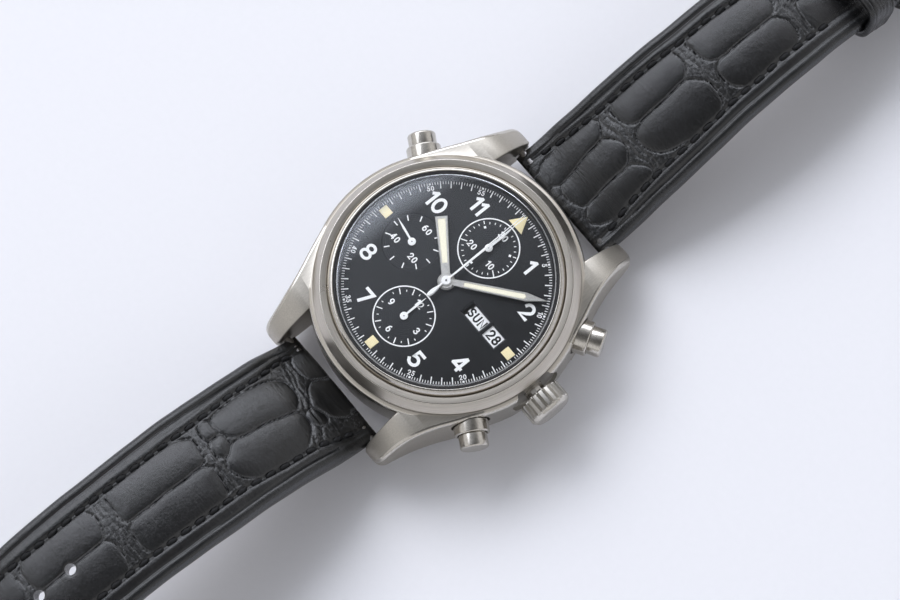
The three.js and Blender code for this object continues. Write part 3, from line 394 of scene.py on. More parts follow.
def prism(outline, low, high, bevel=0.0):
    """A flat plate with its top edges bevelled, as vertices and faces. The outline runs counter-clockwise."""
    pts = np.array(outline, float)
    count = len(pts)
    inner = inset(pts, bevel) if bevel else pts
    layers = [(pts, low), (pts, high - bevel), (inner, high)] if bevel else [(pts, low), (pts, high)]
    verts = np.vstack([np.column_stack([p, np.full(count, z)]) for p, z in layers])
    faces = [list(range(count))[::-1], list(range((len(layers) - 1) * count, len(layers) * count))]
    for layer in range(len(layers) - 1):
        a, b = layer * count, (layer + 1) * count
        faces += [[a + i, a + (i + 1) % count, b + (i + 1) % count, b + i] for i in range(count)]
    return verts, faces


def inset(pts, distance):
    """The counter-clockwise outline moved inwards by distance."""
    before = pts - np.roll(pts, 1, axis=0)
    after = np.roll(pts, -1, axis=0) - pts
    before /= np.linalg.norm(before, axis=1)[:, None]
    after /= np.linalg.norm(after, axis=1)[:, None]
    normal = np.column_stack([-(before[:, 1] + after[:, 1]), before[:, 0] + after[:, 0]])
    scale = 2 * distance / np.maximum(np.sum(normal * normal, axis=1), 0.4)
    return pts + normal * scale[:, None]


def frame_plate(outer, inner, low, high, bevel):
    """A plate with a hole; both outlines run counter-clockwise with as many points as each other."""
    outer, inner = np.array(outer, float), np.array(inner, float)
    count = len(outer)
    rings = [(outer, low), (outer, high - bevel), (inset(outer, bevel), high), (inner, high), (inner, low)]
    verts = np.vstack([np.column_stack([p, np.full(count, z)]) for p, z in rings])
    faces = []
    for layer in range(5):
        a, b = layer * count, ((layer + 1) % 5) * count
        faces += [[a + i, a + (i + 1) % count, b + (i + 1) % count, b + i] for i in range(count)]
    return verts, faces


class Parts:
    """Collects several solids, each with a material index, into one piece."""

    def __init__(self):
        self.verts, self.faces, self.indices, self.count = [], [], [], 0

    def add(self, verts, faces, index=0):
        self.verts.append(np.asarray(verts, float))
        self.faces += [[v + self.count for v in f] for f in faces]
        self.indices += [index] * len(faces)
        self.count += len(verts)
        return self

    def piece(self, name, materials, smooth=True, degrees=32, place=None):
        verts = np.vstack(self.verts)
        if place is not None:
            verts = place(verts)
        made = mesh_piece(name, verts, self.faces, materials, self.indices, smooth)
        return sharpen(made, degrees) if smooth else made


def boolean(target, cutter, operation):
    """Joins or cuts, keeps the result as the target's own mesh and removes the cutter."""
    modifier = target.modifiers.new("cut", "BOOLEAN")
    modifier.operation = operation
    modifier.solver = "EXACT"
    modifier.object = cutter
    bpy.context.view_layer.update()
    made = bpy.data.meshes.new_from_object(target.evaluated_get(bpy.context.evaluated_depsgraph_get()))
    target.modifiers.clear()
    target.data = made
    bpy.data.objects.remove(cutter)
    return target


def box_mesh(x0, x1, y0, y1, z0, z1):
    return prism([(x0, y0), (x1, y0), (x1, y1), (x0, y1)], z0, z1)


def riding(piece, body, slot, *nodes):
    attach(piece, body)
    if nodes:
        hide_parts(*nodes)
    return piece


# ---- Lettering: plain strokes for figures and day names ------------------------------------------------------


def arc(cx, cy, rx, ry, start, end, count=12):
    return [(cx + rx * math.cos(a), cy + ry * math.sin(a)) for a in np.radians(np.linspace(start, end, count))]


ROUND = arc(0.5, 0.5, 0.5, 0.5, 90, 450, 25)
GLYPHS = {
    "0": [ROUND],
    "1": [[(1, 0), (1, 1)], [(0.05, 0.80), (0.85, 0.99)]],
    "2": [arc(0.48, 0.70, 0.50, 0.30, 172, -30) + [(0.62, 0.34), (0.02, 0.0), (1, 0)]],
    "3": [arc(0.45, 0.75, 0.48, 0.25, 155, -90), arc(0.45, 0.265, 0.55, 0.265, 90, -158)],
    "4": [[(0.0, 0.24), (0.72, 1)], [(0.02, 0.22), (1, 0.22)], [(0.80, 1), (0.80, 0)]],
    "5": [[(0.92, 1), (0.2, 1), (0.12, 0.56)] + arc(0.47, 0.32, 0.53, 0.32, 128, -155)],
    "6": [arc(0.5, 0.31, 0.5, 0.31, 0, 360, 21), arc(0.66, 0.38, 0.66, 0.62, 180, 92)],
    "7": [[(0, 1), (1, 1), (0.36, 0)]],
    "8": [arc(0.5, 0.755, 0.42, 0.245, 0, 360, 19), arc(0.5, 0.265, 0.5, 0.265, 0, 360, 21)],
    "9": [arc(0.5, 0.69, 0.5, 0.31, 0, 360, 21), arc(0.34, 0.62, 0.66, 0.62, 0, -88)],
    "A": [[(0, 0), (0.5, 1), (1, 0)], [(0.18, 0.34), (0.82, 0.34)]],
    "D": [[(0, 0), (0, 1), (0.4, 1)] + arc(0.4, 0.5, 0.6, 0.5, 80, -80) + [(0.4, 0), (0, 0)]],
    "E": [[(1, 1), (0, 1), (0, 0), (1, 0)], [(0, 0.52), (0.85, 0.52)]],
    "F": [[(1, 1), (0, 1), (0, 0)], [(0, 0.52), (0.85, 0.52)]],
    "H": [[(0, 0), (0, 1)], [(1, 0), (1, 1)], [(0, 0.52), (1, 0.52)]],
    "I": [[(0.5, 0), (0.5, 1)]],
    "M": [[(0, 0), (0, 1), (0.5, 0.2), (1, 1), (1, 0)]],
    "N": [[(0, 0), (0, 1), (1, 0), (1, 1)]],
    "O": [ROUND],
    "R": [[(0, 0), (0, 1), (0.55, 1)] + arc(0.55, 0.76, 0.42, 0.24, 80, -80) + [(0, 0.52)], [(0.5, 0.52), (1, 0)]],
    "S": [arc(0.5, 0.75, 0.48, 0.25, 25, 270) + arc(0.5, 0.25, 0.5, 0.25, 80, -155)],
    "T": [[(0, 1), (1, 1)], [(0.5, 1), (0.5, 0)]],
    "U": [[(0, 1)] + arc(0.5, 0.36, 0.5, 0.36, 180, 360) + [(1, 1)]],
    "W": [[(0, 1), (0.25, 0), (0.5, 0.85), (0.75, 0), (1, 1)]],
}
DAYS = ["SUN", "MON", "TUE", "WED", "THU", "FRI", "SAT"]


def ribbon(points, width, low, high, caps=True):
    """A thin raised line along the points, as a closed solid."""
    p = np.array(points, float)
    closed = np.linalg.norm(p[0] - p[-1]) < 1e-6
    if closed:
        p = p[:-1]
    ahead = np.roll(p, -1, axis=0) - p
    ahead /= np.linalg.norm(ahead, axis=1)[:, None]
    behind = np.roll(ahead, 1, axis=0)
    if not closed:
        behind[0], ahead[-1] = ahead[0], behind[-1]
        if caps:
            p[0] -= ahead[0] * width / 2
            p[-1] += behind[-1] * width / 2
    middle = ahead + behind
    normal = np.column_stack([-middle[:, 1], middle[:, 0]])
    normal *= (width / np.maximum(np.sum(middle * middle, axis=1), 1.1))[:, None]
    left, right = p + normal, p - normal
    count = len(p)
    verts = np.vstack([
        np.column_stack([side, np.full(count, z)]) for side, z in ((left, low), (right, low), (right, high), (left, high))
    ])
    faces = []
    for i in range(count if closed else count - 1):
        j = (i + 1) % count
        for a, b in ((0, 1), (1, 2), (2, 3), (3, 0)):
            faces.append([a * count + i, b * count + i, b * count + j, a * count + j][::-1])
    if not closed:
        faces += [[0, count, 2 * count, 3 * count], [4 * count - 1, 3 * count - 1, 2 * count - 1, count - 1]]
    return verts, faces


def figure(parts, glyph, x0, x1, y0, y1, stroke, z, transform=None, index=0, lift=0.02):
    """One glyph whose ink fills the box."""
    for layer, line in enumerate(GLYPHS[glyph]):
        pts = [(x0 + stroke / 2 + u * (x1 - x0 - stroke), y0 + stroke / 2 + v * (y1 - y0 - stroke)) for u, v in line]
        verts, faces = ribbon(pts, stroke, 0, lift + 0.008 * layer)
        verts[:, 2] += z
        parts.add(transform(verts) if transform else verts, faces, index)


def glyph_width(glyph, height, stroke):
    shares = {"1": 0.42, "I": 0.2, "M": 0.78, "W": 0.95, "T": 0.6}
    return max(shares.get(glyph, 0.62) * height, stroke * 1.01)


def word(parts, text, height, stroke, z, transform=None, index=0, gap=0.16, widen=1.0):
    """A word centred on the origin, then placed by transform."""
    widths = [glyph_width(g, height, stroke) * widen for g in text]
    x = -(sum(widths) + gap * height * (len(text) - 1)) / 2
    for glyph, width in zip(text, widths):
        figure(parts, glyph, x, x + width, -height / 2, height / 2, stroke, z, transform, index)
        x += width + gap * height


def mover(x=0.0, y=0.0, turn=0.0):
    return lambda verts: placed(verts, x, y, 0, turn)


def tick(parts, centre, clock, r0, r1, width, z, index=0, lift=0.02):
    verts, faces = ribbon([(0, r0), (0, r1)], width, z, z + lift, caps=False)
    parts.add(placed(verts, centre[0], centre[1], 0, clock), faces, index)


# ---- Case, bezel, crystal and back ------------------------------------------------------------------------


def quad_curve(a, b, c, count=8):
    a, b, c = (np.array(p, float) for p in (a, b, c))
    return [tuple((1 - t) ** 2 * a + 2 * t * (1 - t) * b + t * t * c) for t in np.linspace(0, 1, count + 1)]


def lug_mesh():
    """One lug, from inside the case band out to its rounded tip, at +X +Y, as cross-sections along Y."""
    top = [(8, 12.04), (14, 12.04)] + quad_curve((14.5, 12.04), (17.6, 11.9), (19.2, 11.2))
    top += quad_curve((19.2, 11.2), (21.4, 10.2), (24.0, 7.6))[1:] + quad_curve((24.0, 7.6), (25.15, 6.4), (25.15, 5.6))[1:]
    low = [(8, 2.2), (14, 2.3), (21, 2.9)] + quad_curve((21, 2.9), (25.15, 3.2), (25.15, 5.6), 12)[1:]
    outer = [(8, 19.4), (8.6, 19.2)] + [(p[1], p[0]) for p in quad_curve((19.2, 8.6), (18.1, 11.4), (17.1, 13.6))]
    outer += [(p[1], p[0]) for p in quad_curve((17.1, 13.6), (14.7, 18.6), (14.1, 23.7), 12)[1:]]
    outer += [(p[1], p[0]) for p in quad_curve((14.1, 23.7), (13.9, 25.15), (12.6, 25.15))[1:]]
    stations = np.concatenate([np.linspace(8.3, 23, 44), 25.14 - 2.14 * np.cos(np.linspace(0.12, math.pi / 2, 18))[::1]])
    verts, faces, sides = [], [], []
    around = None
    for y in stations:
        z1 = np.interp(y, *zip(*sorted(set(top))))
        z0 = np.interp(y, *zip(*sorted(set(low))))
        x1 = np.interp(y, *zip(*sorted(set(outer))))
        x0 = 10.5 + 0.5 * max(0, (y - 24.3) / 0.85) ** 2
        small = min(0.28, 0.45 * (z1 - z0))
        loop = rounded([(x0, z0, small), (x1, z0, small), (x1, z1, min(0.62, 0.48 * (z1 - z0))), (x0, z1, small)], 4)
        around = len(loop)
        verts += [(x, y, z) for x, z in loop]
    rows = len(stations)
    for i in range(rows - 1):
        for k in range(around):
            n = (k + 1) % around
            faces.append([i * around + k, i * around + n, (i + 1) * around + n, (i + 1) * around + k][::-1])
            sides.append(1 if 10 <= k <= 13 else 0)
    faces += [list(range(around)), list(range((rows - 1) * around, rows * around))[::-1]]
    sides += [0, 0]
    return np.array(verts), faces, sides


def build_case():
    profile = rounded([
        (16.4, 1.7), (19.3, 1.7, 0.2), (20.5, 2.5, 0.6), (21.0, 3.8, 0.9), (21.2, 6, 1.5), (21.2, 9.6, 1.2),
        (21.16, 11.3, 0.22), (20.95, 11.82, 0.2), (20.42, 12.1, 0.05), (16.4, 12.1),
    ], 5)
    verts, faces, mids = lathe_mesh(profile)
    indices = [0 if z > 11.95 or r < 20 else 1 if 11.35 < z < 11.95 else 2 for r, z in mids]
    case = mesh_piece("watch_case", verts, faces, [TURNED, POLISHED, SATIN, BRUSHED], indices)
    lugs = Parts()
    lug_verts, lug_faces, sides = lug_mesh()
    for sx, sy in ((1, 1), (-1, 1), (-1, -1), (1, -1)):
        flipped = [f[::-1] for f in lug_faces] if sx * sy < 0 else lug_faces
        start = len(lugs.faces)
        lugs.add(lug_verts * (sx, sy, 1), flipped)
        lugs.indices[start:] = [1 if side else 3 for side in sides]
    boolean(case, lugs.piece("lugs", [TURNED, POLISHED, SATIN, BRUSHED]), "UNION")
    cutters = Parts()
    cutters.add(*lathe_mesh([(0, -1), (17.2, -1), (17.2, 14), (0, 14)])[:2])
    boolean(case, cutters.piece("bore", [SATIN]), "DIFFERENCE")
    seats = Parts()
    recess = rounded([(0, 20.2), (4.3, 20.2, 0.1), (4.3, 20.95, 0.1), (4.75, 21.6), (4.75, 24), (0, 24)])
    verts, faces, _ = lathe_mesh(recess, 96)
    seats.add(verts[:, [2, 0, 1]] + (0, 0, AXIS_Z), faces)
    for angle in PUSHER_ANGLES.values():
        verts, faces, _ = lathe_mesh([(0, 20.3), (3.0, 20.3), (3.0, 24), (0, 24)], 64)
        seats.add(placed(verts[:, [2, 0, 1]], 0, 0, AXIS_Z, -angle), faces)
    for sy in (1, -1):
        verts, faces, _ = lathe_mesh([(0, -11.4), (0.52, -11.4), (0.52, 11.4), (0, 11.4)], 24)
        seats.add(verts[:, [2, 0, 1]] + (0, sy * 23.3, 5.3), faces)
    boolean(case, seats.piece("seats", [SATIN]), "DIFFERENCE")
    stems = Parts()
    for angle in (0, *PUSHER_ANGLES.values()):
        verts, faces, _ = lathe_mesh([(0, 15), (1.65, 15), (1.65, 22), (0, 22)], 48)
        stems.add(placed(verts[:, [2, 0, 1]], 0, 0, AXIS_Z, -angle), faces)
    boolean(case, stems.piece("stem_holes", [SATIN]), "DIFFERENCE")
    riding(sharpen(case, 28), "head", "case_steel", "case_middle")


def build_bezel():
    profile = rounded([
        (17.0, 12.12), (20.3, 12.12), (20.3, 12.34, 0.06), (19.12, 13.92, 0.10), (18.12, 13.86, 0.05),
        (17.97, 13.56, 0.04), (17.86, 14.16, 0.16), (17.5, 14.72, 0.3), (17.14, 14.86, 0.14), (17.0, 14.7, 0.08),
        (17.0, 13.9), (16.45, 13.9), (16.45, 13.6), (17.0, 13.6),
    ], 5)
    bezel = turned_piece("watch_bezel", profile, [TURNED, POLISHED], lambda r, z: 1 if r < 17.99 or 19.02 < r < 19.2 else 0)
    riding(bezel, "head", "case_steel", "bezel")


def build_crystal():
    dome = [(r, 14.8 + 1.4 * (1 - (r / 16.7) ** 2)) for r in np.linspace(16.35, 0, 40)]
    under = [(r, 13.98 + 1.37 * (1 - (r / 16.7) ** 2)) for r in np.linspace(0, 15.9, 40)]
    profile = under + [(16.7, 13.96), (16.7, 14.5), (16.62, 14.68), (16.48, 14.8)] + dome
    crystal = turned_piece("watch_crystal", profile, [CRYSTAL, CRYSTAL_EDGE], lambda r, z: 1 if r > 16.3 else 0, 192)
    riding(crystal, "head", "sapphire", "crystal")


def build_rehaut():
    profile = rounded([(15.97, 12.92), (16.3, 12.92), (16.38, 13.88, 0.05), (16.2, 13.88, 0.08)], 4)
    riding(turned_piece("dial_surround", profile, [BLACK_RING]), "head", "dial_black", "rehaut_ring")


def build_back():
    profile = rounded([
        (0, 0.05), (10.6, 0.05, 0.1), (10.75, 0.2, 0.08), (10.9, 0.05, 0.08), (14.9, 0.0, 0.1), (15.05, 0.16, 0.06),
        (15.2, 0.0, 0.06), (15.6, 0.0, 0.2), (16.4, 0.25, 0.2), (18.4, 1.1, 0.15), (18.4, 1.6), (15.3, 1.6), (15.0, 1.2),
        (0, 1.2),
    ], 4)
    back = turned_piece("watch_back", profile, [TURNED, POLISHED], lambda r, z: 1 if r > 15.6 else 0)
    notches = Parts()
    for i in range(6):
        verts, faces = box_mesh(-1.1, 1.1, 15.5, 17.3, -1, 0.75)
        notches.add(placed(verts, turn=60 * i + 30), faces)
    boolean(back, notches.piece("notches", [SATIN]), "DIFFERENCE")
    riding(sharpen(back), "head", "case_steel", "case_back")


# ---- Crown and pushers --------------------------------------------------------------------------------


def build_crown():
    flutes, per = 20, 16
    steps = flutes * per
    angle = np.linspace(0, 2 * math.pi, steps, endpoint=False)
    phase = (np.arange(steps) % per) / per
    valley = np.clip(1.25 - np.abs(phase - 0.5) * 5.2, 0, 1) ** 0.8
    stations = [
        (21.5, 1.7, 0), (21.5, 2.95, 0), (21.56, 3.1, 0.3), (21.75, 3.4, 0.9), (21.9, 3.45, 1), (24.15, 3.47, 1),
        (24.28, 3.46, 0.95), (24.4, 3.42, 0.55), (24.5, 3.38, 0.1), (24.6, 3.3, 0), (24.95, 2.95, 0), (25.02, 2.85, 0),
        (25.06, 2.7, 0), (25.08, 2.0, 0), (25.14, 1.2, 0), (25.18, 0.5, 0),
    ]
    verts, faces, indices = [], [], []
    for x, r, depth in stations:
        radius = r - 0.42 * depth * valley
        verts += zip(np.full(steps, x), radius * np.cos(angle), AXIS_Z + radius * np.sin(angle))
    for i in range(len(stations) - 1):
        for k in range(steps):
            n = (k + 1) % steps
            faces.append([i * steps + k, i * steps + n, (i + 1) * steps + n, (i + 1) * steps + k])
            indices.append(1 if i >= 8 else 0)
    last = (len(stations) - 1) * steps
    faces += [list(range(steps))[::-1], list(range(last, last + steps))]
    indices += [0, 1]
    riding(sharpen(mesh_piece("fluted_crown", verts, faces, [SATIN, POLISHED], indices), 40), "crown", "polished_steel", "crown")


def build_pushers():
    collar = rounded([(2.32, 20.6), (2.7, 20.6), (2.7, 22.86, 0.12), (2.58, 23.0, 0.05), (2.32, 23.0, 0.04)])
    cap = rounded([
        (0, 16.2), (0.55, 16.2), (0.55, 20.9), (1.2, 20.9), (1.2, 22.3), (2.18, 22.3, 0.05), (2.2, 24.92, 0.1),
        (2.04, 25.14, 0.08), (0, 25.2),
    ])
    for name, angle in PUSHER_ANGLES.items():
        place = lambda verts, a=angle: placed(verts, 0, 0, AXIS_Z, -a)
        ring = turned_piece(name + "_collar", collar, [POLISHED], None, 96, True, place)
        riding(ring, "head", "polished_steel", name + "_tube")
        button = turned_piece(name + "_button", cap, [POLISHED], None, 96, True, place)
        riding(button, name, "polished_steel", name)


# ---- Dial, discs and hands -------------------------------------------------------------------------------------------


SUBDIALS = {12: (0, SUBDIAL_OFFSET), 6: (0, -SUBDIAL_OFFSET), 9: (-SUBDIAL_OFFSET, 0)}


def window_cutter(x0, x1, y):
    """A tapered cutter that leaves a bevelled frame around a window."""
    rings = [((x0, x1, y), 12.0), ((x0, x1, y), 12.62), ((x0 - 0.24, x1 + 0.24, y + 0.22), 12.905), ((x0 - 0.24, x1 + 0.24, y + 0.22), 13.5)]
    verts = [p for (a, b, h), z in rings for p in ((a, -h, z), (b, -h, z), (b, h, z), (a, h, z))]
    faces = [[3, 2, 1, 0], [12, 13, 14, 15]]
    for layer in range(3):
        faces += [[layer * 4 + i, layer * 4 + (i + 1) % 4, layer * 4 + 4 + (i + 1) % 4, layer * 4 + 4 + i] for i in range(4)]
    return verts, faces


def build_dial():
    blank = [(1.35, 12.5), (16.3, 12.5), (16.3, 12.9), (1.35, 12.9)]
    verts, faces, _ = lathe_mesh(blank)
    materials = [BLACK, FRAME_GREY] + [record_grooves(f"counter_{k}", c) for k, c in SUBDIALS.items()]
    dial = mesh_piece("watch_dial", verts, faces, materials, [0] * len(faces), False)
    sinks = Parts()
    for number, centre in enumerate(SUBDIALS.values()):
        floor = DIAL_Z - SUBDIAL_DEPTH
        profile = [(0, floor), (SUBDIAL_R - 0.06, floor), (SUBDIAL_R + 0.08, DIAL_Z + 0.02), (SUBDIAL_R + 0.08, 13.5), (0, 13.5)]
        verts, faces, _ = lathe_mesh(profile, 128)
        sinks.add(placed(verts, *centre), faces, 2 + number)
    boolean(dial, sinks.piece("sinks", materials, False), "DIFFERENCE")
    holes = Parts()
    for centre in SUBDIALS.values():
        verts, faces, _ = lathe_mesh([(0, 12), (0.4, 12), (0.4, 13.5), (0, 13.5)], 24)
        holes.add(placed(verts, *centre), faces, 1)
    holes.add(*window_cutter(5.02, 8.98, 1.08), 1)
    holes.add(*window_cutter(9.64, 12.42, 1.08), 1)
    boolean(dial, holes.piece("openings", materials, False), "DIFFERENCE")
    riding(dial, "head", "dial_black", "dial")


HOUR_FIGURES = [
    ("1", 5.66, 6.8, 9.8, 12.44), ("2", 10.38, 12.32, 5.06, 7.74), ("4", 9.98, 12.02, -7.76, -5.06),
    ("5", 5.3, 7.3, -12.42, -9.72), ("7", -7.1, -5.12, -12.14, -9.48), ("8", -12.32, -10.28, -7.4, -4.6),
    ("1", -12.34, -11.26, 5.42, 8.16), ("0", -11.04, -8.98, 5.42, 8.16), ("1", -7.34, -6.24, 10.04, 12.68),
    ("1", -6.08, -4.98, 10.04, 12.68),
]


def build_dial_print():
    ink = Parts()
    top = DIAL_Z
    for glyph, x0, x1, y0, y1 in HOUR_FIGURES:
        figure(ink, glyph, x0, x1, y0, y1, 0.5 if glyph != "8" else 0.46, top)
    numbered = {5, 10, 20, 25, 35, 40, 50, 55}
    for quarter in range(240):
        clock = quarter * 1.5
        minute, rest = divmod(quarter, 4)
        if rest:
            tick(ink, (0, 0), clock, 15.47, 15.9, 0.11, top)
        elif minute in numbered:
            tick(ink, (0, 0), clock, 15.52, 15.84, 0.32, top)
            flip = 180 if 90 < clock < 270 else 0
            a = math.radians(clock)
            word(ink, str(minute), 0.8, 0.14, top, mover(14.98 * math.sin(a), 14.98 * math.cos(a), clock + flip), gap=0.14)
        elif minute % 15:
            tick(ink, (0, 0), clock, 14.82, 15.95, 0.17, top)
    sunk = DIAL_Z - SUBDIAL_DEPTH
    ring = arc(0, 0, 4.68, 4.68, 0, 360, 129)
    for number in (12, 6):
        verts, faces = ribbon(ring, 0.2, DIAL_Z, DIAL_Z + 0.02)
        ink.add(placed(verts, *SUBDIALS[number]), faces)
    for minute in range(30):
        clock = minute * 12
        if minute in (10, 20):
            tick(ink, SUBDIALS[12], clock, 3.47, 4.55, 0.17, sunk)
        elif minute in (5, 15, 25):
            tick(ink, SUBDIALS[12], clock, 3.9, 4.42, 0.16, sunk)
            tick(ink, SUBDIALS[12], clock, 3.22, 3.58, 0.36, sunk)
        elif minute:
            tick(ink, SUBDIALS[12], clock, 3.82, 4.17, 0.13, sunk)
    cx, cy = SUBDIALS[12]
    for text, x, y in (("30", 0, 2.86), ("10", 2.12, -1.56), ("20", -2.08, -1.56)):
        word(ink, text, 1.1, 0.2, sunk, mover(cx + x, cy + y))
    cx, cy = SUBDIALS[6]
    for half_hour in range(24):
        long_tick = half_hour % 2 == 0
        if half_hour % 6:
            tick(ink, (cx, cy), half_hour * 15, *((3.5, 4.45, 0.17) if long_tick else (3.85, 4.15, 0.13)), sunk)
    for text, x, y in (("12", 0, 2.95), ("3", 3.0, 0), ("6", 0, -2.95), ("9", -3.0, 0)):
        word(ink, text, 1.14, 0.2, sunk, mover(cx + x, cy + y))
    cx, cy = SUBDIALS[9]
    for step in range(12):
        if step % 12:
            tick(ink, (cx, cy), step * 30, 3.45, 4.32, 0.19, sunk)
    for text, x, y in (("60", 0, 2.95), ("20", 2.0, -1.5), ("40", -2.15, -1.5)):
        word(ink, text, 1.1, 0.2, sunk, mover(cx + x, cy + y))
    riding(ink.piece("dial_print", [WHITE], False), "head", "white_paint")
    lume = Parts()
    for clock in (90, 180, 270):
        verts, faces = prism([(-0.73, 13.66), (0.73, 13.66), (0.73, 15.34), (-0.73, 15.34)], top, top + 0.09, 0.05)
        lume.add(placed(verts, turn=clock), faces)
    lume.add(*prism([(-1.5, 13.4), (1.5, 13.4), (0, 15.98)][::1], top, top + 0.09, 0.05))
    riding(lume.piece("dial_markers", [MARKER_LUME], True), "head", "white_paint")


def build_discs():
    """The printed date and day rings; 28 and SUN stand in the windows."""
    date = Parts()
    teeth = []
    for i in range(31):
        middle = i * 360 / 31
        for offset, r in ((-3.6, 9.45), (-2.0, 9.0), (2.0, 9.0), (3.6, 9.45)):
            teeth.append((r * math.cos(math.radians(middle + offset)), r * math.sin(math.radians(middle + offset))))
    outer = [(13.6 * math.cos(math.atan2(y, x)), 13.6 * math.sin(math.atan2(y, x))) for x, y in teeth]
    date.add(*frame_plate(outer, teeth, 11.5, 11.8, 0.02))
    track = [(9.5, 11.7), (13.5, 11.7), (13.5, 12.41), (13.45, 12.45), (9.55, 12.45), (9.5, 12.41)]
    date.add(*lathe_mesh(track)[:2])
    for number in range(1, 32):
        clock = 90 + (number - DATE_SHOWN) * 360 / 31
        a = math.radians(clock)
        place = mover(11.12 * math.sin(a), 11.12 * math.cos(a), clock - 90)
        word(date, str(number), 1.62, 0.29, 12.45, place, 1, 0.12, 1.04)
    riding(date.piece("date_ring", [DISC_WHITE, INK], True), "date_disc", "white_paint", "date_disc")
    day = Parts()
    teeth = []
    for i in range(14):
        middle = i * 360 / 14
        for offset, r in ((-8, 3.75), (-4, 3.45), (4, 3.45), (8, 3.75)):
            a = math.radians(middle + offset)
            teeth.append((DAY_DISC_X + r * math.cos(a), r * math.sin(a)))
    rim = []
    for x, y in teeth:
        a = math.atan2(y, x - DAY_DISC_X)
        rim.append((DAY_DISC_X + 7.15 * math.cos(a), 7.15 * math.sin(a)))
    day.add(*frame_plate(rim, teeth, 11.95, 12.25, 0.02))
    track = [(3.9, 12.1), (7.1, 12.1), (7.1, 12.41), (7.05, 12.45), (3.95, 12.45), (3.9, 12.41)]
    verts, faces, _ = lathe_mesh(track, 192)
    day.add(verts + (DAY_DISC_X, 0, 0), faces)
    for number, name in enumerate(DAYS):
        clock = 90 + number * 360 / 7
        a = math.radians(clock)
        place = mover(DAY_DISC_X + 5.24 * math.sin(a), 5.24 * math.cos(a), clock - 90)
        word(day, name, 1.5, 0.27, 12.45, place, 1, 0.13, 1.06)
    riding(day.piece("day_ring", [DISC_WHITE, INK], True), "day_disc", "white_paint", "day_disc")


def hub(parts, radius, pipe_r, bore_r, low, high, pipe_to, index=0):
    profile = [(bore_r, pipe_to), (pipe_r, pipe_to), (pipe_r, low), (radius, low), (radius, high - 0.05), (radius - 0.08, high), (bore_r, high)]
    if bore_r == 0:
        profile = [(0, pipe_to), *profile[1:-1], (0, high)]
    parts.add(*lathe_mesh(profile, 64)[:2], index)


def build_hands():
    hour = Parts()
    z0, z1 = 13.25, 13.40
    outer = [(-0.70, 2.45), (0, 2.4), (0.70, 2.45), (0.99, 10.3), (0, 10.3), (-0.99, 10.3)]
    inner = [(-0.40, 2.9), (0, 2.9), (0.40, 2.9), (0.60, 9.9), (0, 9.9), (-0.60, 9.9)]
    hour.add(*frame_plate(outer, inner, z0, z1 + 0.03, 0.09))
    hour.add(*prism([(-0.64, -0.4), (0.64, -0.4), (0.70, 2.6), (-0.70, 2.6)], z0, z1 + 0.02, 0.07))
    hour.add(*prism(inner, z0 + 0.01, z1 - 0.01, 0.03), 1)
    hub(hour, 1.35, 1.15, 0.92, z0, z1 + 0.03, 12.0)
    riding(hour.piece("hour_baton", [HAND_STEEL, LUME], place=mover(turn=HOUR_CLOCK)), "hour_hand", "polished_steel", "hour_hand")
    minute = Parts()
    z0, z1 = 13.5, 13.65
    outer = [(-0.57, 2.3), (0, 2.2), (0.57, 2.3), (0.70, 12.3), (0, 15.6), (-0.70, 12.3)]
    inner = [(-0.33, 2.75), (0, 2.7), (0.33, 2.75), (0.40, 12.0), (0, 12.3), (-0.40, 12.0)]
    minute.add(*frame_plate(outer, inner, z0, z1, 0.08))
    minute.add(*prism([(-0.5, -0.4), (0.5, -0.4), (0.54, 2.4), (-0.54, 2.4)], z0, z1, 0.07))
    minute.add(*prism(inner, z0 + 0.01, z1 - 0.03, 0.03), 1)
    hub(minute, 1.2, 0.85, 0.58, z0, z1 + 0.02, 11.4)
    riding(minute.piece("minute_baton", [HAND_STEEL, LUME], place=mover(turn=MINUTE_CLOCK)), "minute_hand", "polished_steel", "minute_hand")
    sweep = [
        (-0.12, -3.7), (0.12, -3.7), (0.28, -3.3), (0.34, -2.7), (0.26, -2.0), (0.13, -1.3), (0.15, 0), (0.10, 8), (0.05, 15.6),
        (-0.05, 15.6), (-0.10, 8), (-0.15, 0), (-0.13, -1.3), (-0.26, -2.0), (-0.34, -2.7), (-0.28, -3.3),
    ]
    chrono = Parts().add(*prism(sweep, 13.75, 13.85, 0.03))
    hub(chrono, 0.76, 0.5, 0.3, 13.75, 13.87, 5.25)
    riding(chrono.piece("chronograph_needle", [HAND_WHITE], place=mover(turn=-1.35)), "chrono_seconds", "white_paint", "chrono_seconds_hand")
    split = Parts().add(*prism(sweep, 13.95, 14.05, 0.03))
    hub(split, 0.69, 0.22, 0, 13.95, 14.07, 4.65)
    split.add(*lathe_mesh([(0, 14.06), (0.16, 14.06), (0.14, 14.16), (0, 14.19)], 32)[:2], 1)
    riding(split.piece("split_needle", [HAND_WHITE, DARK_STEEL_AND_BAR_SHADE], place=mover(turn=0.45)), "split_seconds", "white_paint", "split_seconds_hand")
    small = [(-0.12, -0.4), (0.12, -0.4), (0.15, 0), (0.18, 2.6), (0.03, 4.3), (-0.03, 4.3), (-0.18, 2.6), (-0.15, 0)]
    for name, body, centre, clock in (
        ("running_needle", "running_seconds", SUBDIALS[9], RUNNING_CLOCK),
        ("minute_counter_needle", "minute_counter", SUBDIALS[12], 0),
        ("hour_counter_needle", "hour_counter", SUBDIALS[6], 0),
    ):
        needle = Parts().add(*prism(small, 13.05, 13.15, 0.03))
        hub(needle, 0.62, 0.25, 0, 13.05, 13.17, 11.5)
        needle.add(*lathe_mesh([(0, 13.15), (0.12, 13.15), (0.1, 13.22), (0, 13.24)], 24)[:2], 1)
        piece = needle.piece(name, [HAND_WHITE, DARK_STEEL_AND_BAR_SHADE], place=mover(centre[0], centre[1], clock))
        riding(piece, body, "white_paint", body + "_hand")


# ---- Strap -----------------------------------------------------------------------------------------

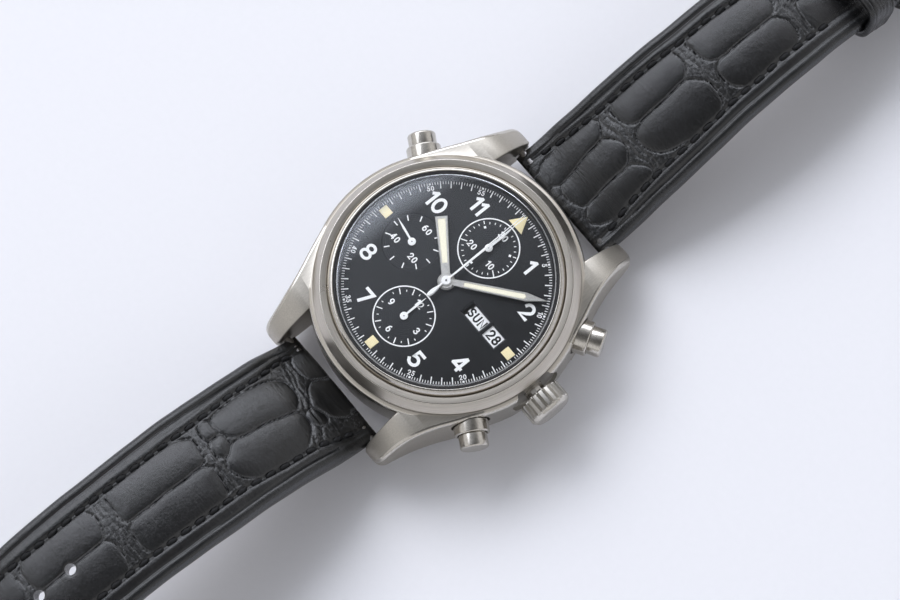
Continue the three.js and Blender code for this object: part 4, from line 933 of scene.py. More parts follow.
STATIONS_12 = [
    (23.3, 5.3, 2.7), (26.4, 5.7, 3.2), (30.5, 7.0, 4.3), (36.6, 9.0, 4.6), (43, 10.9, 4.5), (50, 12.45, 4.3),
    (57, 13.3, 4.0), (63, 13.3, 3.7), (70, 12.4, 3.4), (78, 10.3, 3.2), (87, 6.6, 3.1), (93, 3.7, 3.2), (97.3, 1.9, 3.2),
]
STATIONS_6 = [
    (23.3, 5.3, 2.7), (25.6, 6.4, 3.2), (28.4, 8.3, 4.2), (31.6, 10.5, 4.7), (36.8, 13.0, 4.7), (42.9, 15.2, 4.6),
    (50.8, 17.0, 4.3), (57.3, 17.8, 4.0), (64, 18.2, 3.7), (70.2, 18.15, 3.4), (80, 16.9, 3.1), (92, 13.3, 2.8),
    (105, 8.2, 2.6), (118, 3.5, 2.4), (126, 1.7, 2.2), (131, 1.3, 2.0),
]
STITCH_12 = ([24, 26, 30, 37, 43, 48, 52, 57, 61, 98], [8.2, 8.0, 7.2, 6.7, 6.7, 6.5, 6.2, 6.2, 5.9, 5.7])
STITCH_6 = ([24, 28, 31, 37, 43, 51, 57, 64, 131], [7.9, 7.5, 7.0, 6.85, 6.3, 6.2, 6.1, 6.0, 5.7])
HOLES_6 = [70.2 + 5.81 * i for i in range(7)]
HOLE_R = 0.86

# Outlines of the large scales as (distance along Y, X).
SCALES_12 = [
    [(23.6, -6.7), (34.8, -6.5), (33.6, -4.2), (32.6, -3.3), (29, -2.7), (25, -2.3), (23.4, -3.5)],
    [(24, -2.2), (32.6, -3.1), (34.3, -1.9), (35, -0.3), (34.9, 0.8), (33.6, 2.5), (25.2, 2.6), (24.6, 1.5)],
    [(25.1, 3), (33.6, 2.9), (35.3, 4.8), (35.7, 6.5), (24.4, 6.8)],
    [(37.6, -6.5), (38, -3.2), (39.3, -1.3), (47.5, -1.3), (48.9, -2.5), (49.6, -4.5), (48.9, -6.4)],
    [(38.2, -0.3), (38.1, 2), (39, 4.7), (44, 5.9), (47.7, 6.2), (50, 5), (50.3, 3), (49.8, 0.8), (48, -1)],
    [(52.4, -6.2), (52.7, -2.7), (54, -0.3), (63.5, -0.2), (65.3, -1.5), (65.5, -3), (65, -6.0)],
    [(53.2, 1), (53.3, 3), (54, 5.2), (57, 5.8), (60, 6), (65, 5.8), (65.6, 2.3), (64.8, 0.9), (63.3, 0.05), (56, 0)],
]
SCALES_6 = [
    [(22.3, -7.5), (25, -6.8), (25.7, -5.2), (25.2, -3.5), (24, -2.3), (22.2, -1.2)],
    [(22.4, -1), (24, -2.1), (26, -1.5), (27.2, -0.2), (27.5, 1.5), (27, 3), (25.5, 4.3), (23.5, 5)],
    [(27.5, 3.0), (28, 2.1), (28.9, 1.9), (29.6, 2.8), (29.2, 4.0), (28.3, 4.2)],
    [(29.4, -4), (29.4, -2), (30.5, 0), (31.5, 0.4), (36, -0.3), (38.7, -0.6), (40.5, -2), (41.5, -3.5), (40.8, -5), (38, -5.6), (32, -5.6)],
    [(30.4, 2), (31, 4), (33, 6.3), (37, 6.3), (41.5, 5.8), (43.3, 2.5), (42.5, 1), (40.5, 0.1), (37, -0.1), (32, 0.5)],
    [(41.6, -2.2), (42.6, -2.5), (43.4, -1.5), (43.4, 0), (42.6, 0.6), (41.8, -0.4)],
    [(41.9, -5.2), (42.8, -5.2), (43.4, -4), (42.8, -2.8), (41.9, -3)],
    [(46, -5.4), (45.6, -2.5), (46.3, -0.3), (59, -0.2), (59.7, -1.4), (59.6, -4.5), (59, -5.8)],
    [(46, 0.1), (45.9, 3), (46.5, 5.9), (52, 6), (59.2, 6), (59.9, 3), (59.5, 0.3)],
]


# Folds across the hide between rows of scales: distance along Y at the middle, and slant.
FOLDS_12 = [(35.9, 0.10), (36.9, 0.04), (51.0, 0.03), (51.8, -0.05), (67.2, 0.04)]
FOLDS_6 = [(28.3, 0.22), (29.2, 0.30), (43.8, 0.06), (44.9, 0.10), (61.2, 0.0), (62.2, 0.05)]


def more_scales(start, end, length, gap, seed):
    """Further rows of two scales each, that get a little shorter along the strap."""
    rng = np.random.default_rng(seed)
    rows = []
    y = start
    while y < end:
        stop = min(y + length * rng.uniform(0.92, 1.05), end)
        split = rng.uniform(-0.5, 0.7)
        for low, high in ((-5.6, split - 0.25), (split + 0.25, 5.6)):
            b = rng.uniform(0.3, 1.1, 4)
            rows.append([
                (y + b[0], low), (y, low + 1.4), (y, high - 1.2), (y + b[1], high), (stop - b[2], high),
                (stop, high - 1.2), (stop, low + 1.4), (stop - b[3], low),
            ])
        y = stop + gap
        length *= 0.94
    return rows


class Strap:
    """One half of the strap as a padded ribbon along a curve in the YZ plane."""

    def __init__(self, side, stations, end_y, stitch, scales, folds, tip):
        self.side, self.end_y, self.stitch, self.folds, self.tip = side, end_y, stitch, folds, tip
        pts = np.array(stations, float)
        t = np.linspace(0, len(pts) - 1, 4000)
        index = np.minimum(t.astype(int), len(pts) - 2)
        w = (t - index)[:, None]
        p1, p2 = pts[index, :2], pts[index + 1, :2]
        p0, p3 = pts[np.maximum(index - 1, 0), :2], pts[np.minimum(index + 2, len(pts) - 1), :2]
        v0, v1 = (p2 - p0) * 0.5, (p3 - p1) * 0.5
        line = (2 * p1 - 2 * p2 + v0 + v1) * w**3 + (-3 * p1 + 3 * p2 - 2 * v0 - v1) * w**2 + v0 * w + p1
        self.y, self.z = line[:, 0], line[:, 1]
        step = np.hypot(np.diff(self.y), np.diff(self.z))
        self.u = np.concatenate([[0], np.cumsum(step)])
        self.length = self.u[-1]
        self.angle = np.arctan2(np.gradient(self.z), np.gradient(self.y))
        self.half = np.interp(self.y, pts[:, 0], pts[:, 2]) / 2
        self.scales = [self.smooth(np.array(s, float)) for s in scales]
        self.jitter = np.random.default_rng(11 if side > 0 else 5).random((64, 64, 2))

    @staticmethod
    def smooth(poly):
        for _ in range(2):
            nxt = np.roll(poly, -1, axis=0)
            poly = np.stack([poly * 0.75 + nxt * 0.25, poly * 0.25 + nxt * 0.75], axis=1).reshape(-1, 2)
        return poly

    def along(self, y):
        return np.interp(y, self.y, self.u)

    def y_at(self, u):
        return np.interp(u, self.u, self.y)

    def half_width(self, u):
        y = self.y_at(u)
        t = np.clip((y - 30) / (self.end_y - 42), 0, 1)
        width = (20.5 + (17.8 - 20.5) * t) / 2
        width = width + 0.05 * np.sin(0.31 * y + self.side) + 0.02 * np.sin(0.7 * y)
        if self.tip:
            into = np.clip((y - self.end_y + self.tip) / self.tip, 0, 1)
            width = width * np.sqrt(1 - 0.93 * into**2.2)
        return width

    def at(self, u, x, h):
        """The point at distance u along the strap, x across it and h above the middle of its thickness."""
        u, x, h = (np.asarray(a, float) for a in (u, x, h))
        inside = np.clip(u, 0, self.length)
        beyond = u - inside
        angle = np.interp(inside, self.u, self.angle)
        y = self.y_at(inside) + beyond * np.cos(angle) - h * np.sin(angle)
        z = np.interp(inside, self.u, self.z) + beyond * np.sin(angle) + h * np.cos(angle)
        return np.stack([x + 0 * y, self.side * y, z], axis=-1)

    def thickness(self, u):
        """Half the thickness, rounded off past both ends."""
        inside = np.clip(u, 0, self.length)
        half = np.interp(inside, self.u, self.half)
        beyond = np.abs(u - inside)
        return np.sqrt(np.maximum(half**2 - beyond**2, 0.0016))

    def cells(self, y, x):
        """Distance in millimetres to the nearest groove between the small, flattened scales."""
        a, b = y / 0.7, x / 1.25 + 0.35 * np.sin(y * 0.7)
        ia, ib = np.floor(a).astype(int), np.floor(b).astype(int)
        nearest = np.full(a.shape, 9.0)
        second = np.full(a.shape, 9.0)
        for da in (-2, -1, 0, 1, 2):
            for db in (-2, -1, 0, 1, 2):
                offset = self.jitter[(ia + da) % 64, (ib + db) % 64]
                d = np.hypot(ia + da + offset[..., 0] - a, ib + db + offset[..., 1] - b)
                second = np.minimum(second, np.maximum(d, nearest))
                nearest = np.minimum(nearest, d)
        return (second - nearest) * 0.5

    def scale_distance(self, y, x):
        """Signed distance into the nearest large scale, and into the next nearest; negative outside them."""
        best = np.full(y.shape, -9.0)
        second = np.full(y.shape, -9.0)
        for poly in self.scales:
            near = (y > poly[:, 0].min() - 2) & (y < poly[:, 0].max() + 2)
            if not near.any():
                continue
            py, px = y[near], x[near]
            inside = np.zeros(py.shape, bool)
            dist = np.full(py.shape, 9.0)
            for a, b in zip(poly, np.roll(poly, -1, axis=0)):
                edge = b - a
                t = np.clip(((py - a[0]) * edge[0] + (px - a[1]) * edge[1]) / (edge @ edge), 0, 1)
                dist = np.minimum(dist, np.hypot(py - a[0] - t * edge[0], px - a[1] - t * edge[1]))
                crosses = (a[1] > px) != (b[1] > px)
                with np.errstate(divide="ignore", invalid="ignore"):
                    inside ^= crosses & (py < edge[0] * (px - a[1]) / edge[1] + a[0])
            signed = np.where(inside, dist, -dist)
            second[near] = np.maximum(second[near], np.minimum(best[near], signed))
            best[near] = np.maximum(best[near], signed)
        return best, second

    def top(self, u, x):
        """Height of the grained upper surface above the middle, and its wear."""
        half = self.thickness(u)
        full = half / 2.2
        y = self.y_at(np.clip(u, 0, self.length))
        width = self.half_width(u)
        stitch = np.interp(y, *self.stitch) * np.minimum(1, width / 8.9)
        across = np.abs(x)
        edge = np.maximum(width - across, 0)
        wobble = 0.10 * np.sin(y * 1.3 + x) + 0.08 * np.sin(y * 0.61 - 1.7 * x)
        sy, sx = y + 0.10 * np.sin(1.3 * x + 0.3 * y), x + 0.06 * np.sin(1.1 * y)
        best, second = self.scale_distance(sy, sx)
        reach = 0.7
        scale = np.minimum((best - second) / 2, best + reach)
        large = best > -reach
        cell = self.cells(y + wobble, x)
        fold = np.full(y.shape, 9.0)
        for fold_y, slant in self.folds:
            fold = np.minimum(fold, np.abs(y - fold_y - slant * x - 1.5 * wobble))
        within = np.clip((stitch - 0.25 - across) / 0.6, 0, 1)
        strength = (0.15 + 0.85 * within) * np.clip((edge - 0.9) / 0.9, 0, 1)
        big = 0.24 * np.exp(-((scale / 0.16) ** 2)) + 0.34 * np.exp(-np.maximum(scale, 0) / 1.1)
        small = 0.06 * np.exp(-((cell / 0.07) ** 2)) + 0.22 + 0.10 * np.exp(-(((best + reach) / 0.15) ** 2))
        carve = np.where(large, big, small) + 0.16 * np.exp(-((fold / 0.2) ** 2))
        swell = 0.06 * np.sin(0.43 * y + 1.9 * np.sign(x)) + 0.03 * np.sin(1.1 * y + 4 * np.sign(x))
        padding = 0.62 * np.clip(across / stitch, 0, 1) ** 2 + 0.14 * self.step(across, stitch - 0.9, stitch - 0.1)
        seam = 0.34 * np.exp(-(((across - stitch) / 0.34) ** 2))
        outer = 0.22 * self.step(across, stitch + 0.9, stitch + 1.7) + swell * self.step(across, stitch, stitch + 0.8)
        line = 0.24 * np.exp(-(((edge - 1.6) / 0.2) ** 2))
        roll = np.clip((1.1 - edge) / 1.1, 0, 1)
        drop = padding + seam + outer + line + 0.85 * (1 - np.sqrt(np.maximum(1 - roll**2, 0)))
        height = half - full * (drop + carve * strength)
        rim = np.exp(-(((scale - 0.17) / 0.085) ** 2)) * np.clip(1.2 - 0.3 * np.abs(best), 0.3, 1)
        hair = 0.5 * np.exp(-((cell / 0.05) ** 2)) + 0.3 * np.exp(-(((fold - 0.24) / 0.1) ** 2))
        wear = np.where(large, rim, hair) * strength
        wear += 0.16 * np.exp(-(((edge - 0.35) / 0.3) ** 2))
        return height, wear

    @staticmethod
    def step(value, low, high):
        t = np.clip((value - low) / (high - low), 0, 1)
        return t * t * (3 - 2 * t)

    def bottom(self, u, x):
        half = self.thickness(u)
        edge = np.clip((0.9 - (self.half_width(u) - np.abs(x))) / 0.9, 0, 1)
        return -half + half / 2.2 * 0.5 * (1 - np.sqrt(1 - edge**2))

    def rows(self, spacings):
        """Distances along the strap, closer where it is seen best, with rows round both ends."""
        inner, outer = self.thickness(0.0), self.thickness(self.length)
        turn = np.radians(np.linspace(88, 8, 9))
        marks = [-float(inner) * np.sin(turn)]
        start = 0.0
        for end_y, spacing in spacings:
            end = min(float(self.along(end_y)), self.length)
            marks.append(np.arange(start, end, spacing))
            start = marks[-1][-1] + spacing
        marks.append([self.length])
        marks.append(self.length + float(outer) * np.sin(turn[::-1]))
        return np.concatenate(marks)

    def build(self, name, spacings, holes, slot_length, materials):
        reach = 64
        shared = 9
        columns = np.arange(-reach, reach + 1)
        under = np.concatenate([np.arange(reach, shared, -5), np.arange(shared, -shared - 1, -1), -np.arange(shared + 1, reach, 5)[0:0]])
        under = np.unique(np.concatenate([under, -under, [-reach]]))[::-1]
        marks = self.rows(spacings)
        count = len(marks)
        u = np.repeat(marks[:, None], len(columns), axis=1)
        x = self.half_width(marks)[:, None] * (columns / reach)[None, :]
        keep = np.ones((count - 1, len(columns) - 1), bool)
        rims = []
        for hole_y in holes:
            centre = float(self.along(hole_y))
            mid_u = (u[:-1, :-1] + u[1:, 1:]) / 2 - centre
            mid_x = (x[:-1, :-1] + x[1:, 1:]) / 2
            gone = np.hypot(mid_u, mid_x) < HOLE_R
            keep &= ~gone
            rims.append((centre, gone))
        first_slot = count
        if slot_length:
            first_slot = int(np.searchsorted(marks, self.length - slot_length))
            keep[first_slot:, reach - shared:reach + shared] = False
        for centre, gone in rims:
            touched = np.zeros(u.shape, int)
            for da in (0, 1):
                for db in (0, 1):
                    touched[da:count - 1 + da, db:len(columns) - 1 + db] += gone
            edge = (touched > 0) & (touched < 4)
            distance = np.hypot(u - centre, x)
            scale = np.where(edge, HOLE_R / np.maximum(distance, 0.1), 1)
            u = centre + (u - centre) * scale
            x = x * scale
        height, wear = self.top(u, x)
        for centre, _ in rims:
            away = np.hypot(u - centre, x) - HOLE_R
            height -= 0.16 * np.exp(-((away / 0.2) ** 2))
            wear += 0.22 * np.exp(-((away / 0.12) ** 2))
        top_points = self.at(u, x, height)
        take = under + reach
        low_u, low_x = u[:, take], x[:, take]
        low_points = self.at(low_u, low_x, self.bottom(low_u, low_x))
        side_points, side_steps = {}, 5
        for key, column in (("right", -1), ("left", 0)):
            a, b = height[:, column], self.bottom(u[:, column], x[:, column])
            made = []
            for step in range(1, side_steps):
                t = step / side_steps
                bulge = 0.16 * math.sin(math.pi * t) * self.thickness(marks) / 2.2
                made.append(self.at(u[:, column], x[:, column] + np.sign(x[:, column]) * bulge, a + (b - a) * t))
            side_points[key] = np.stack(made, axis=1)
        loop = np.concatenate([top_points, side_points["right"], low_points, side_points["left"][:, ::-1]], axis=1)
        around = loop.shape[1]
        wide = len(columns)
        values = np.zeros((count, around))
        values[:, :wide] = np.clip(wear, 0, 1)
        index = np.arange(count * around).reshape(count, around)
        solid = np.ones((count - 1, around), bool)
        solid[:, :wide - 1] = keep
        low_start = wide + side_steps - 1
        low_of = {int(c): low_start + n for n, c in enumerate(under)}
        for c in range(-shared, shared):
            solid[:, low_of[c + 1]] = keep[:, c + reach]
        following = np.roll(index, -1, axis=1)
        quads = np.stack([index[:-1], following[:-1], following[1:], index[1:]], axis=-1)[solid]
        faces = quads.tolist()
        material = np.zeros((count - 1, around), int)
        material[:, low_start:low_start + len(under) - 1] = 1
        kinds = material[solid].tolist()
        faces_before = len(faces)
        for _, gone in rims:
            rows, cols = np.nonzero(gone)
            for i, j in zip(rows, cols):
                for (di, dj), a, b in (
                    ((-1, 0), (i, j), (i, j + 1)), ((1, 0), (i + 1, j + 1), (i + 1, j)),
                    ((0, -1), (i + 1, j), (i, j)), ((0, 1), (i, j + 1), (i + 1, j + 1)),
                ):
                    if not gone[i + di, j + dj]:
                        top_a, top_b = index[a], index[b]
                        low_a, low_b = index[a[0], low_of[a[1] - reach]], index[b[0], low_of[b[1] - reach]]
                        faces.append([top_a, low_a, low_b, top_b])
        ends = [list(index[0])[::-1]]
        if slot_length:
            last = count - 1
            left, right = reach - shared, reach + shared
            for c in range(left, right):
                a, b = index[first_slot, c], index[first_slot, c + 1]
                faces.append([b, a, index[first_slot, low_of[c - reach]], index[first_slot, low_of[c + 1 - reach]]])
            span = np.arange(first_slot, count)
            wall_right = list(index[span, right]) + list(index[span[::-1], low_of[shared]])
            wall_left = list(index[span, left]) + list(index[span[::-1], low_of[-shared]])
            ends += [wall_right, wall_left[::-1]]
            ends.append(list(index[last, right:low_of[shared] + 1]))
            ends.append(list(index[last, low_of[-shared]:]) + list(index[last, :left + 1]))
        else:
            ends.append(list(index[-1]))
        faces += ends
        kinds += [0] * (len(faces) - faces_before)
        if self.side > 0:
            faces = [f[::-1] for f in faces]
        piece = mesh_piece(name, loop.reshape(-1, 3), faces, materials, kinds)
        layer = piece.data.attributes.new("wear", "FLOAT", "POINT")
        layer.data.foreach_set("value", values.astype(np.float32).ravel())
        return sharpen(piece, 62)

    def stitches(self, name, spans, pitch, length, material):
        """Rows of short two-ply stitches, sunk at their ends, on both faces."""
        parts = Parts()
        rng = np.random.default_rng(3)
        for start_y, end_y in spans:
            start, end = float(self.along(start_y)), float(self.along(end_y))
            for number in range(int((end - start) / pitch)):
                middle = start + (number + 0.5) * pitch
                for across in (-1, 1):
                    for over in (True, False):
                        line = float(np.interp(self.y_at(middle), *self.stitch))
                        self.add_stitch(parts, middle, across * line, length, over, rng.uniform(-0.05, 0.05), rng.uniform(0.9, 1.1))
        return parts.piece(name, [material], degrees=80)

    def add_stitch(self, parts, middle, x, length, over, skew, size):
        along, around = 9, 8
        t = np.linspace(-1, 1, along)
        u = middle + t * length / 2
        across = x + skew * t * 2
        surface = self.top(u, across)[0] if over else self.bottom(u, across)
        surface = np.full(along, surface.mean())
        lift = (0.36 * np.sqrt(np.maximum(1 - t**2, 0)) - 0.14) * (1 if over else -1)
        middle_line = surface + lift
        verts = []
        for k in range(along):
            thick = 0.33 * size * (0.75 + 0.25 * math.sqrt(max(0, 1 - t[k] ** 2)))
            for n in range(around):
                a = 2 * math.pi * n / around
                r = thick * (1 + 0.16 * math.cos(2 * a + 5 * t[k]))
                verts.append(self.at(u[k], across[k] + r * math.cos(a), middle_line[k] + 0.85 * r * math.sin(a)))
        faces = []
        for k in range(along - 1):
            for n in range(around):
                m = (n + 1) % around
                faces.append([k * around + n, k * around + m, (k + 1) * around + m, (k + 1) * around + n])
        faces += [list(range(around))[::-1], list(range((along - 1) * around, along * around))]
        if self.side < 0:
            faces = [f[::-1] for f in faces]
        parts.add(verts, faces)


def build_straps():
    twelve = Strap(1, STATIONS_12, 97.3, STITCH_12, SCALES_12 + more_scales(68.8, 94, 11, 1.9, 4), FOLDS_12, 0)
    six = Strap(-1, STATIONS_6, 131, STITCH_6, SCALES_6 + more_scales(63.6, 128, 11.6, 2.0, 9), FOLDS_6, 9)
    pieces = [
        (twelve.build("strap_12", [(80, 0.165), (98, 0.25)], [], 2.6, [LEATHER, LINING]), 12),
        (twelve.stitches("strap_12_stitches", [(25, 72)], 2.62, 1.9, THREAD), 12),
        (six.build("strap_6", [(76, 0.18), (131, 0.30)], HOLES_6, 0, [LEATHER, LINING]), 6),
        (six.stitches("strap_6_stitches", [(25, 122)], 2.52, 1.85, THREAD), 6),
    ]
    for piece, half in pieces:
        if half == 12:
            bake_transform(piece)
        else:
            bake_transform(piece)
    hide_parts("strap_12_inner", "strap_12_outer")
    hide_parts("strap_6_inner", "strap_6_outer")
    return twelve


def build_keeper(strap, name, y, body, node):
    """A leather loop: a cushioned band swept round the strap, with a line pressed near each edge."""
    u0 = float(strap.along(y))
    half = float(strap.half_width(u0)) + 0.4
    thick = float(strap.thickness(u0))
    low, high, wall = -thick - 0.8, thick + 2.4, 1.1
    path = rounded([(half, low, 2.0), (half, high, 2.4), (-half, high, 2.4), (-half, low, 2.0)], 10)
    dense = []
    for a, b in zip(path, [*path[1:], path[0]]):
        steps = max(1, int(math.dist(a, b) / 0.5))
        dense += [tuple(np.array(a) + (np.array(b) - a) * k / steps) for k in range(steps)]
    pts = np.array(dense)
    tangent = np.roll(pts, -1, axis=0) - np.roll(pts, 1, axis=0)
    tangent /= np.linalg.norm(tangent, axis=1)[:, None]
    normal = np.column_stack([tangent[:, 1], -tangent[:, 0]])
    across = np.linspace(-2.5, 2.5, 31)
    outer = []
    for v in across:
        e = 2.5 - abs(v)
        lift = wall * math.sqrt(max(0, 1 - max(0, (0.7 - e) / 0.7) ** 2)) * 0.55 + wall * 0.45
        outer.append(lift - 0.16 * math.exp(-(((e - 0.85) / 0.14) ** 2)))
    section = [(v, h) for v, h in zip(across, outer)] + [(2.45, 0.25), (2.3, 0.0), (0, 0.0), (-2.3, 0.0), (-2.45, 0.25)]
    verts = []
    wear = []
    for k, (p, n) in enumerate(zip(pts, normal)):
        for v, h in section:
            cell = strap.cells(np.array([v * 1.0 + 3.1]), np.array([k * 0.5]))[0] if h > 0.3 else 1.0
            raised = h - (0.12 * math.exp(-((cell / 0.22) ** 2)) if abs(v) < 1.5 else 0)
            q = p + n * raised
            verts.append(strap.at(u0 + v, q[0], q[1]))
            wear.append(0.4 * math.exp(-((cell / 0.12) ** 2)) if abs(v) < 1.5 else 0.0)
    around, count = len(section), len(pts)
    faces = []
    for k in range(count):
        m = (k + 1) % count
        for s in range(around):
            t = (s + 1) % around
            faces.append([k * around + s, k * around + t, m * around + t, m * around + s])
    piece = mesh_piece(name, verts, faces, [LEATHER])
    layer = piece.data.attributes.new("wear", "FLOAT", "POINT")
    layer.data.foreach_set("value", np.array(wear, np.float32))
    outwards(piece)
    riding(sharpen(piece, 60), body, "strap_leather", node)


def outwards(piece):
    """Turns every face outwards."""
    mesh = bmesh.new()
    mesh.from_mesh(piece.data)
    bmesh.ops.recalc_face_normals(mesh, faces=mesh.faces)
    mesh.to_mesh(piece.data)
    mesh.free()
    return piece


# ---- Bars and buckle ---------------------------------------------------------------------------------------


def swept(path, section, closed=False):
    """A solid swept along a path in the XY plane; the section is (sideways, up)."""
    p = np.array(path, float)
    ahead = np.roll(p, -1, axis=0) - p
    behind = p - np.roll(p, 1, axis=0)
    if not closed:
        ahead[-1], behind[0] = behind[-1], ahead[0]
    tangent = ahead / np.linalg.norm(ahead, axis=1)[:, None] + behind / np.linalg.norm(behind, axis=1)[:, None]
    length = np.linalg.norm(tangent, axis=1)[:, None]
    normal = np.column_stack([tangent[:, 1], -tangent[:, 0]]) / length
    stretch = 2 / length
    verts = [(q[0] + n[0] * s * m[0], q[1] + n[1] * s * m[0], h) for q, n, m in zip(p, normal, stretch) for s, h in section]
    around, count = len(section), len(p)
    faces = []
    for k in range(count if closed else count - 1):
        j = (k + 1) % count
        faces += [[k * around + s, k * around + (s + 1) % around, j * around + (s + 1) % around, j * around + s] for s in range(around)]
    if not closed:
        faces += [list(range(around))[::-1], list(range((count - 1) * around, count * around))]
    return np.array(verts), faces


def build_bars():
    # The bars take the dark steel as painted shade, so they show no glint in the gap between strap and lug.
    for name, node, y in (("bar_12", "spring_bar_12", 23.3), ("bar_6", "spring_bar_6", -23.3)):
        profile = rounded([
            (0, -11.3), (0.42, -11.3, 0.1), (0.45, -10.7), (0.6, -10.45), (0.6, -10.1), (0.75, -10.1, 0.05), (0.75, 10.1, 0.05),
            (0.6, 10.1), (0.6, 10.45), (0.45, 10.7), (0.42, 11.3, 0.1), (0, 11.3),
        ])
        place = lambda verts, shift=y: verts + (0, shift, 5.3)
        riding(turned_piece(name, profile, [DARK_STEEL_AND_BAR_SHADE], None, 32, True, place), "head", "polished_steel", node)


def build_buckle():
    bar_y, bar_z = 97.3, 1.9
    section = rounded([(-0.95, -0.9, 0.5), (0.95, -0.9, 0.5), (0.95, 0.9, 0.7), (-0.95, 0.9, 0.7)], 4)
    far = 12.2
    path = [(10.25, -1.3), (10.25, 4)] + [(10.25 - 0.25 * t, 4 + 5.2 * t) for t in (0.5, 1)]
    path += quad_curve((9.95, 9.6), (9.6, 11.9), (7.2, far), 8) + quad_curve((6.5, far + 0.06), (0, far + 0.6), (-6.5, far + 0.06), 12)
    path += quad_curve((-7.2, far), (-9.6, 11.9), (-9.95, 9.6), 8) + [(-10, 9.2), (-10.12, 6.6), (-10.25, 4), (-10.25, -1.3)]
    buckle = Parts()
    verts, faces = swept(path, section)
    buckle.add(verts + (0, bar_y, bar_z), faces)
    piece = buckle.piece("buckle_loop", [POLISHED])
    outwards(piece)
    riding(piece, "buckle", "polished_steel", "buckle_frame")
    low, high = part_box("buckle_bar")
    reach = high.x / MM
    bar = rounded([(0, -reach), (0.5, -reach, 0.1), (0.62, -reach + 0.3), (0.62, reach - 0.3), (0.5, reach, 0.1), (0, reach)])
    place = lambda v: v + (0, bar_y, bar_z)
    riding(turned_piece("bar_buckle", bar, [POLISHED], None, 32, True, place), "strap_12_end", "polished_steel", "buckle_bar")
    side = [(-1.3, 0.0), (-1.0, 1.0), (0, 1.35), (1.1, 1.2), (3.0, 0.62), (6.0, 0.5), (9.0, 0.55), (11.0, 0.95), (12.6, 1.35), (13.25, 1.25)]
    tongue = Parts()
    section_loop = []
    for y, h in side:
        section_loop.append((y, h))
    verts, faces = [], []
    widths = [0.9, 1.0, 1.0, 1.0, 0.95, 0.85, 0.8, 0.75, 0.65, 0.4]
    count = 12
    for (y, h), w in zip(section_loop, widths):
        for k in range(count):
            a = 2 * math.pi * k / count
            r = 0.42
            verts.append((w * math.copysign(abs(math.cos(a)) ** 0.6, math.cos(a)), y, h + r * math.copysign(abs(math.sin(a)) ** 0.7, math.sin(a)) - 0.35))
    for i in range(len(side) - 1):
        faces += [[i * count + k, i * count + (k + 1) % count, (i + 1) * count + (k + 1) % count, (i + 1) * count + k] for k in range(count)]
    faces += [list(range(count)), list(range((len(side) - 1) * count, len(side) * count))]
    tongue.add(np.array(verts) + (0, bar_y, bar_z), faces)
    piece = tongue.piece("buckle_pin", [POLISHED], degrees=50)
    outwards(piece)
    riding(piece, "buckle_tongue", "polished_steel", "buckle_tongue")


# ---- CAD nodes that stay as they are: the works inside the case ---------------------------------------------------------


NODE_MATERIALS = {
    "crystal_gasket": RUBBER, "case_back_gasket": RUBBER, "soft_iron_cover": SATIN, "crown_tube": POLISHED,
    "movement_holder": SATIN, "main_plate": BRIDGE, "train_bridge": BRIDGE, "chronograph_bridge": BRIDGE,
    "balance_cock": BRIDGE, "balance_spring": DARK_STEEL_AND_BAR_SHADE, "rotor_bearing": SATIN,
    "rotor": BRIDGE, "winding_stem": DARK_STEEL_AND_BAR_SHADE, "winding_pinion": DARK_STEEL_AND_BAR_SHADE, "pallet_fork": DARK_STEEL_AND_BAR_SHADE,
}


def dress_nodes():
    for name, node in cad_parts.items():
        if node.hide_render:
            continue
        if name in NODE_MATERIALS:
            material = NODE_MATERIALS[name]
        else:
            material = DARK_STEEL_AND_BAR_SHADE if "spring" in name else BRASS
        node.data.materials.clear()
        node.data.materials.append(material)
        bevel = node.modifiers.new("worn_edges", "BEVEL")
        bevel.width = 0.00003
        bevel.segments = 1
        bevel.limit_method = "ANGLE"
        bevel.angle_limit = math.radians(40)


# ---- Stage, light and camera -------------------------------------------------------------------------------


def build_stage():
    s = Shader("pale_table")
    fine = s.noise(s.stretched((900, 900, 900)), 6.0, 0.6)
    s.set(Base_Color=s.mix(fine, (0.765, 0.772, 0.815), (0.795, 0.80, 0.845)), Roughness=0.7, Normal=s.bump(fine, 0.01))
    size = 1500
    floor = mesh_piece("floor", [(-size, -size, 0), (size, -size, 0), (size, size, 0), (-size, size, 0)], [[0, 1, 2, 3]], [s.material], None, False)


PANEL_EDGE = (0.49, 0.67)
PANEL_LIGHT = (3.2, 3.35, 3.7, 1)


def area_light(name, place, aim, size, power, colour):
    data = bpy.data.lights.new(name, "AREA")
    data.shape = "DISK"
    data.size = size
    data.energy = power
    data.color = colour
    light = bpy.data.objects.new(name, data)
    bpy.context.scene.collection.objects.link(light)
    light.location = place
    light.visible_glossy = False
    light.rotation_euler = (Vector(aim) - Vector(place)).to_track_quat("-Z", "Y").to_euler()


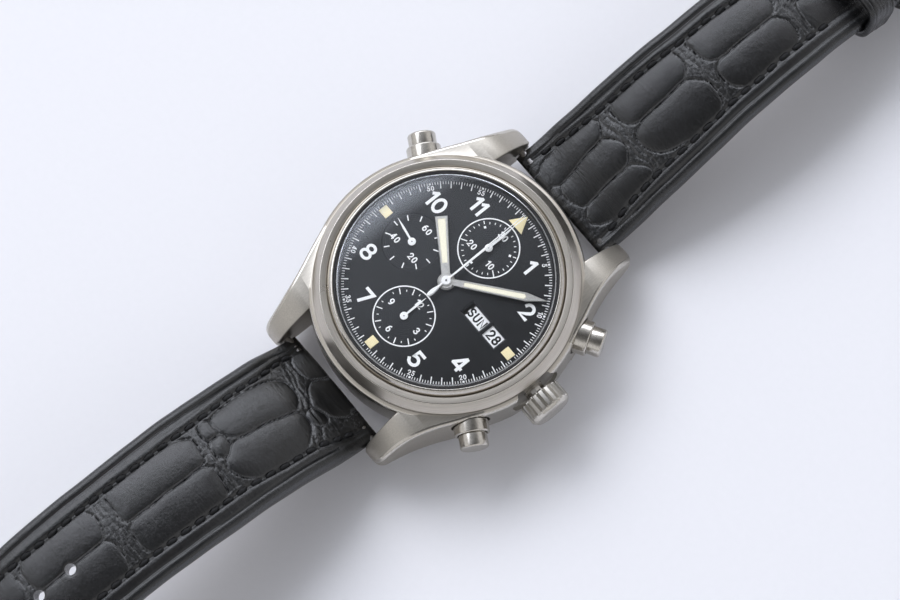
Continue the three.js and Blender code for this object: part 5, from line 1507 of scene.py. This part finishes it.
def build_light():
    """A pale studio with one broad soft panel on the 9 o'clock side, and a lamp behind it that casts the shadows."""
    world = bpy.data.worlds.new("studio")
    bpy.context.scene.world = world
    world.use_nodes = True
    nodes, links = world.node_tree.nodes, world.node_tree.links

    def connect(node, socket, value):
        if isinstance(value, bpy.types.NodeSocket):
            links.new(value, node.inputs[socket])
        else:
            node.inputs[socket].default_value = value

    def math_node(operation, a, b=0.0):
        made = nodes.new("ShaderNodeMath")
        made.operation = operation
        connect(made, 0, a)
        connect(made, 1, b)
        return made.outputs[0]

    def fade(value, low, high):
        made = nodes.new("ShaderNodeMapRange")
        made.interpolation_type = "SMOOTHSTEP"
        for socket, number in enumerate((value, low, high)):
            connect(made, socket, number)
        return made.outputs[0]

    split = nodes.new("ShaderNodeSeparateXYZ")
    links.new(nodes.new("ShaderNodeTexCoord").outputs["Generated"], split.inputs[0])
    x, y, z = split.outputs
    above = math_node("MAXIMUM", z, 0.05)
    along = math_node("DIVIDE", y, above)
    sideways = math_node("DIVIDE", math_node("MULTIPLY", x, -1.0), above)
    panel = math_node("MULTIPLY", fade(sideways, *PANEL_EDGE), fade(sideways, 1.9, 1.2))
    panel = math_node("MULTIPLY", panel, fade(along, -0.8, -0.3))
    panel = math_node("MULTIPLY", panel, fade(along, 2.6, 1.8))
    sky = nodes.new("ShaderNodeValToRGB")
    stops = [(0.0, 0.45), (0.35, 0.80), (0.62, 0.72), (0.85, 0.22), (1.0, 0.10)]
    while len(sky.color_ramp.elements) < len(stops):
        sky.color_ramp.elements.new(0.5)
    for element, (position, level) in zip(sky.color_ramp.elements, stops):
        element.position = position
        element.color = (level, level, level * 1.02, 1)
    links.new(z, sky.inputs[0])
    glow = math_node("MULTIPLY", math_node("MULTIPLY", fade(sideways, -0.05, 0.42), fade(z, 0.5, 0.85)), 0.09)
    total = nodes.new("ShaderNodeMix")
    total.data_type = "RGBA"
    total.blend_type = "ADD"
    links.new(math_node("MAXIMUM", panel, glow), total.inputs["Factor"])
    links.new(sky.outputs[0], total.inputs[6])
    total.inputs[7].default_value = PANEL_LIGHT
    links.new(total.outputs[2], nodes["Background"].inputs["Color"])
    nodes["Background"].inputs["Strength"].default_value = 1.0
    area_light("key", (-1.12, 0.155, 0.985), (0, 0, 0), 0.95, 8.6, (1.0, 0.985, 0.975))


def build_camera():
    """The photograph's view: high over the watch, turned so that 12 o'clock points to the upper right."""
    aim = Vector((2.50, -1.365, 12.9)) * MM
    distance, elevation, heading, roll = 450.8 * MM, math.radians(74.35), math.radians(-31.08), math.radians(-8.59)
    away = Vector((math.cos(elevation) * math.cos(heading), math.cos(elevation) * math.sin(heading), math.sin(elevation)))
    forward = -away
    level = forward.cross(Vector((0, 0, 1))).normalized()
    upright = level.cross(forward)
    right = level * math.cos(roll) + upright * math.sin(roll)
    up = right.cross(forward)
    data = bpy.data.cameras.new("camera")
    data.lens = 120
    data.sensor_width = 36
    data.clip_start = 0.01
    camera = bpy.data.objects.new("camera", data)
    bpy.context.scene.collection.objects.link(camera)
    turn = Matrix((right, up, away)).transposed().to_4x4()
    camera.matrix_world = Matrix.Translation(aim + away * distance) @ turn
    bpy.context.scene.camera = camera


build_case()
build_bezel()
build_crystal()
build_rehaut()
build_back()
build_crown()
build_pushers()
build_dial()
build_dial_print()
build_discs()
build_hands()
strap = build_straps()
build_keeper(strap, "keeper_loose", 77.5, "free_keeper", "free_keeper")
build_keeper(strap, "keeper_sewn", 86.5, "strap_12_end", "fixed_keeper")
build_bars()
build_buckle()
dress_nodes()
build_stage()
build_light()
build_camera()
bpy.context.scene.view_settings.view_transform = "Standard"
